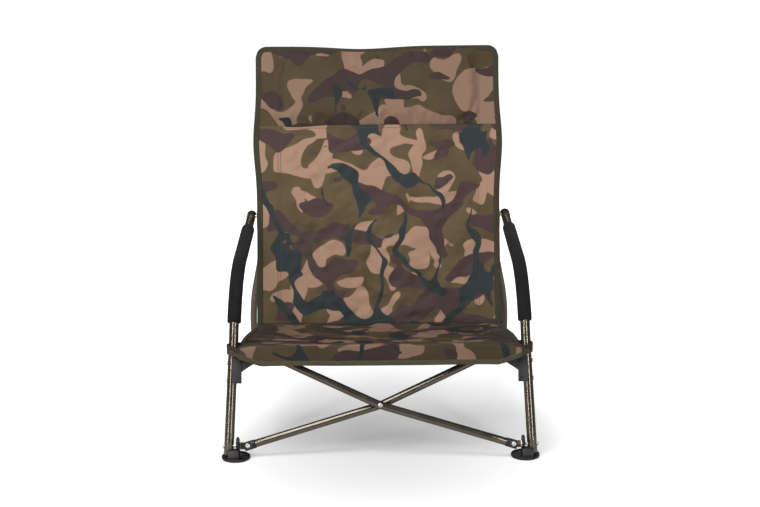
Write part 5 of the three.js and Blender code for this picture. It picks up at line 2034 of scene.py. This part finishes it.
def loopRoute(side):
    leg = legSpot(side, seatLook["creaseHeight"] - seatLook["cornerDip"] - seatLook["cornerDrop"] / 2)
    half, depth = abs(leg.x) / mm, leg.y / mm + layout["meanDepth"]
    edge, radius = seatLook["frontHalf"] - seatLook["thickness"] * 2, seatLook["loopRadius"]
    turns = [lerp(-0.35, 1, step / 24) * math.pi / 2 for step in range(25)]
    bend = [(half + radius * math.cos(turn), depth + radius * math.sin(turn)) for turn in turns]
    return [(edge, seatLook["creaseDepth"] - 0.7), *bend, (edge, depth + seatLook["loopRear"])]


def loopGrid(side):
    route = loopRoute(side)
    lengths = measured(route)
    top = seatLook["creaseHeight"] - seatLook["cornerDip"] - 0.8
    low = top - seatLook["cornerDrop"] + 2.2
    rows = []
    for row in range(9):
        height = lerp(low, top, row / 8)
        line = [at(side * half, depth, height) for half, depth in route]
        printUp = (backLook["bottom"] - 655 + height) * mm
        rows.append((line, [(side * (290 + long) * mm, printUp) for long in lengths]))
    return gridFrom(rows, side < 0)


seatCloth = addSeat()


seatTape = {
    "width": 9.5,
    "thickness": 3.4,
    "past": 1.2,
    "hemLine": (0, -1.75, 6.0),  # of the stitches, from the edge
    "sideLine": (-6.2, 0.3, 1.8),
    "loopWidth": 8.6,
    "loopThickness": 2.8,
    "loopPast": 0.4,
    "rearLines": (0.012, 0.026),
    "rearLift": 0.9,
}
seatFacing = Vector((0, 0.16, 0.987))


def stripEdge():
    rows = seatLook["topRows"] + seatLook["stripRows"]
    return [at(*seatSpot(column / 160 * 2 - 1, rows)) for column in range(161)]


def seatTapeShell(path, facing, inward):
    facings, into = [facing] * len(path), [inward] * len(path)
    return tapeShell(path, facings, into, seatTape["width"], seatTape["thickness"])


def loopTape(side, height, way):
    route = [at(side * half, depth, height) for half, depth in loopRoute(side)]
    centre = at(side * 300, 60, height)
    outward = []
    for index, spot in enumerate(route):
        across = spanAt(route, index).cross(up).normalized()
        outward.append(-toward(across, spot, centre))
    vertical = [Vector((0, 0, way))] * len(route)
    return tapeShell(route, outward, vertical, seatTape["loopWidth"], seatTape["loopThickness"])


def addSeatTapes():
    edge = stripEdge()
    facing = Vector((0, -1, 0))
    path = [spot - Vector((0, 0, seatTape["past"] * mm)) for spot in edge]
    tapes = [("hem", seatTapeShell(path, facing, up))]
    shift = Vector(seatTape["hemLine"]) * mm
    lines = [([spot + shift for spot in edge], [facing] * len(edge))]
    crease = seatLook["creaseHeight"] - seatLook["cornerDip"]
    loopEdges = (
        (crease + seatTape["loopPast"], -1, "binding"),
        (crease - seatLook["cornerDrop"] - seatTape["loopPast"], 1, "hem"),
    )
    across, rise, lift = seatTape["sideLine"]
    for side, _ in sides:
        edge = [at(*seatTop(side, step / 90)) for step in range(91)]
        path = [spot + Vector((side * seatTape["past"] * mm, 0, 0)) for spot in edge]
        upward = seatFacing.normalized()
        tapes.append(("binding", seatTapeShell(path, upward, Vector((-side, 0, 0)))))
        shift = Vector((side * across * mm, rise * mm, lift * mm))
        lines.append(([spot + shift for spot in edge], [upward] * len(edge)))
        tapes += [(finish, loopTape(side, height, way)) for height, way, finish in loopEdges]
    for share in seatTape["rearLines"]:
        spots = [seatTop(step / 75 - 1, share) for step in range(151)]
        line = [at(x, depth, height + seatTape["rearLift"]) for x, depth, height in spots]
        lines.append((line, [seatFacing] * len(spots)))
    shell, uvs = joinTapes([tape for _, tape in tapes])
    marks = [int(finish == "binding") for finish, ((_, faces), _) in tapes for _ in faces]
    piece = addPiece("seatBinding", shell, "hem", "seat", [], 70, uvs, marks, ("binding",))
    return piece, lines


seatBinding, seatLines = addSeatTapes()
seatStitches = addStitches("seatStitches", seatLines, "seat")
print("seat cloth made")

# each soft piece gets its own copy of its mesh
for piece in (backCloth, headrest, backBinding, backStitches):
    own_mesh(piece)
for piece in (seatCloth, seatBinding, seatStitches):
    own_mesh(piece)

print("chair finished")
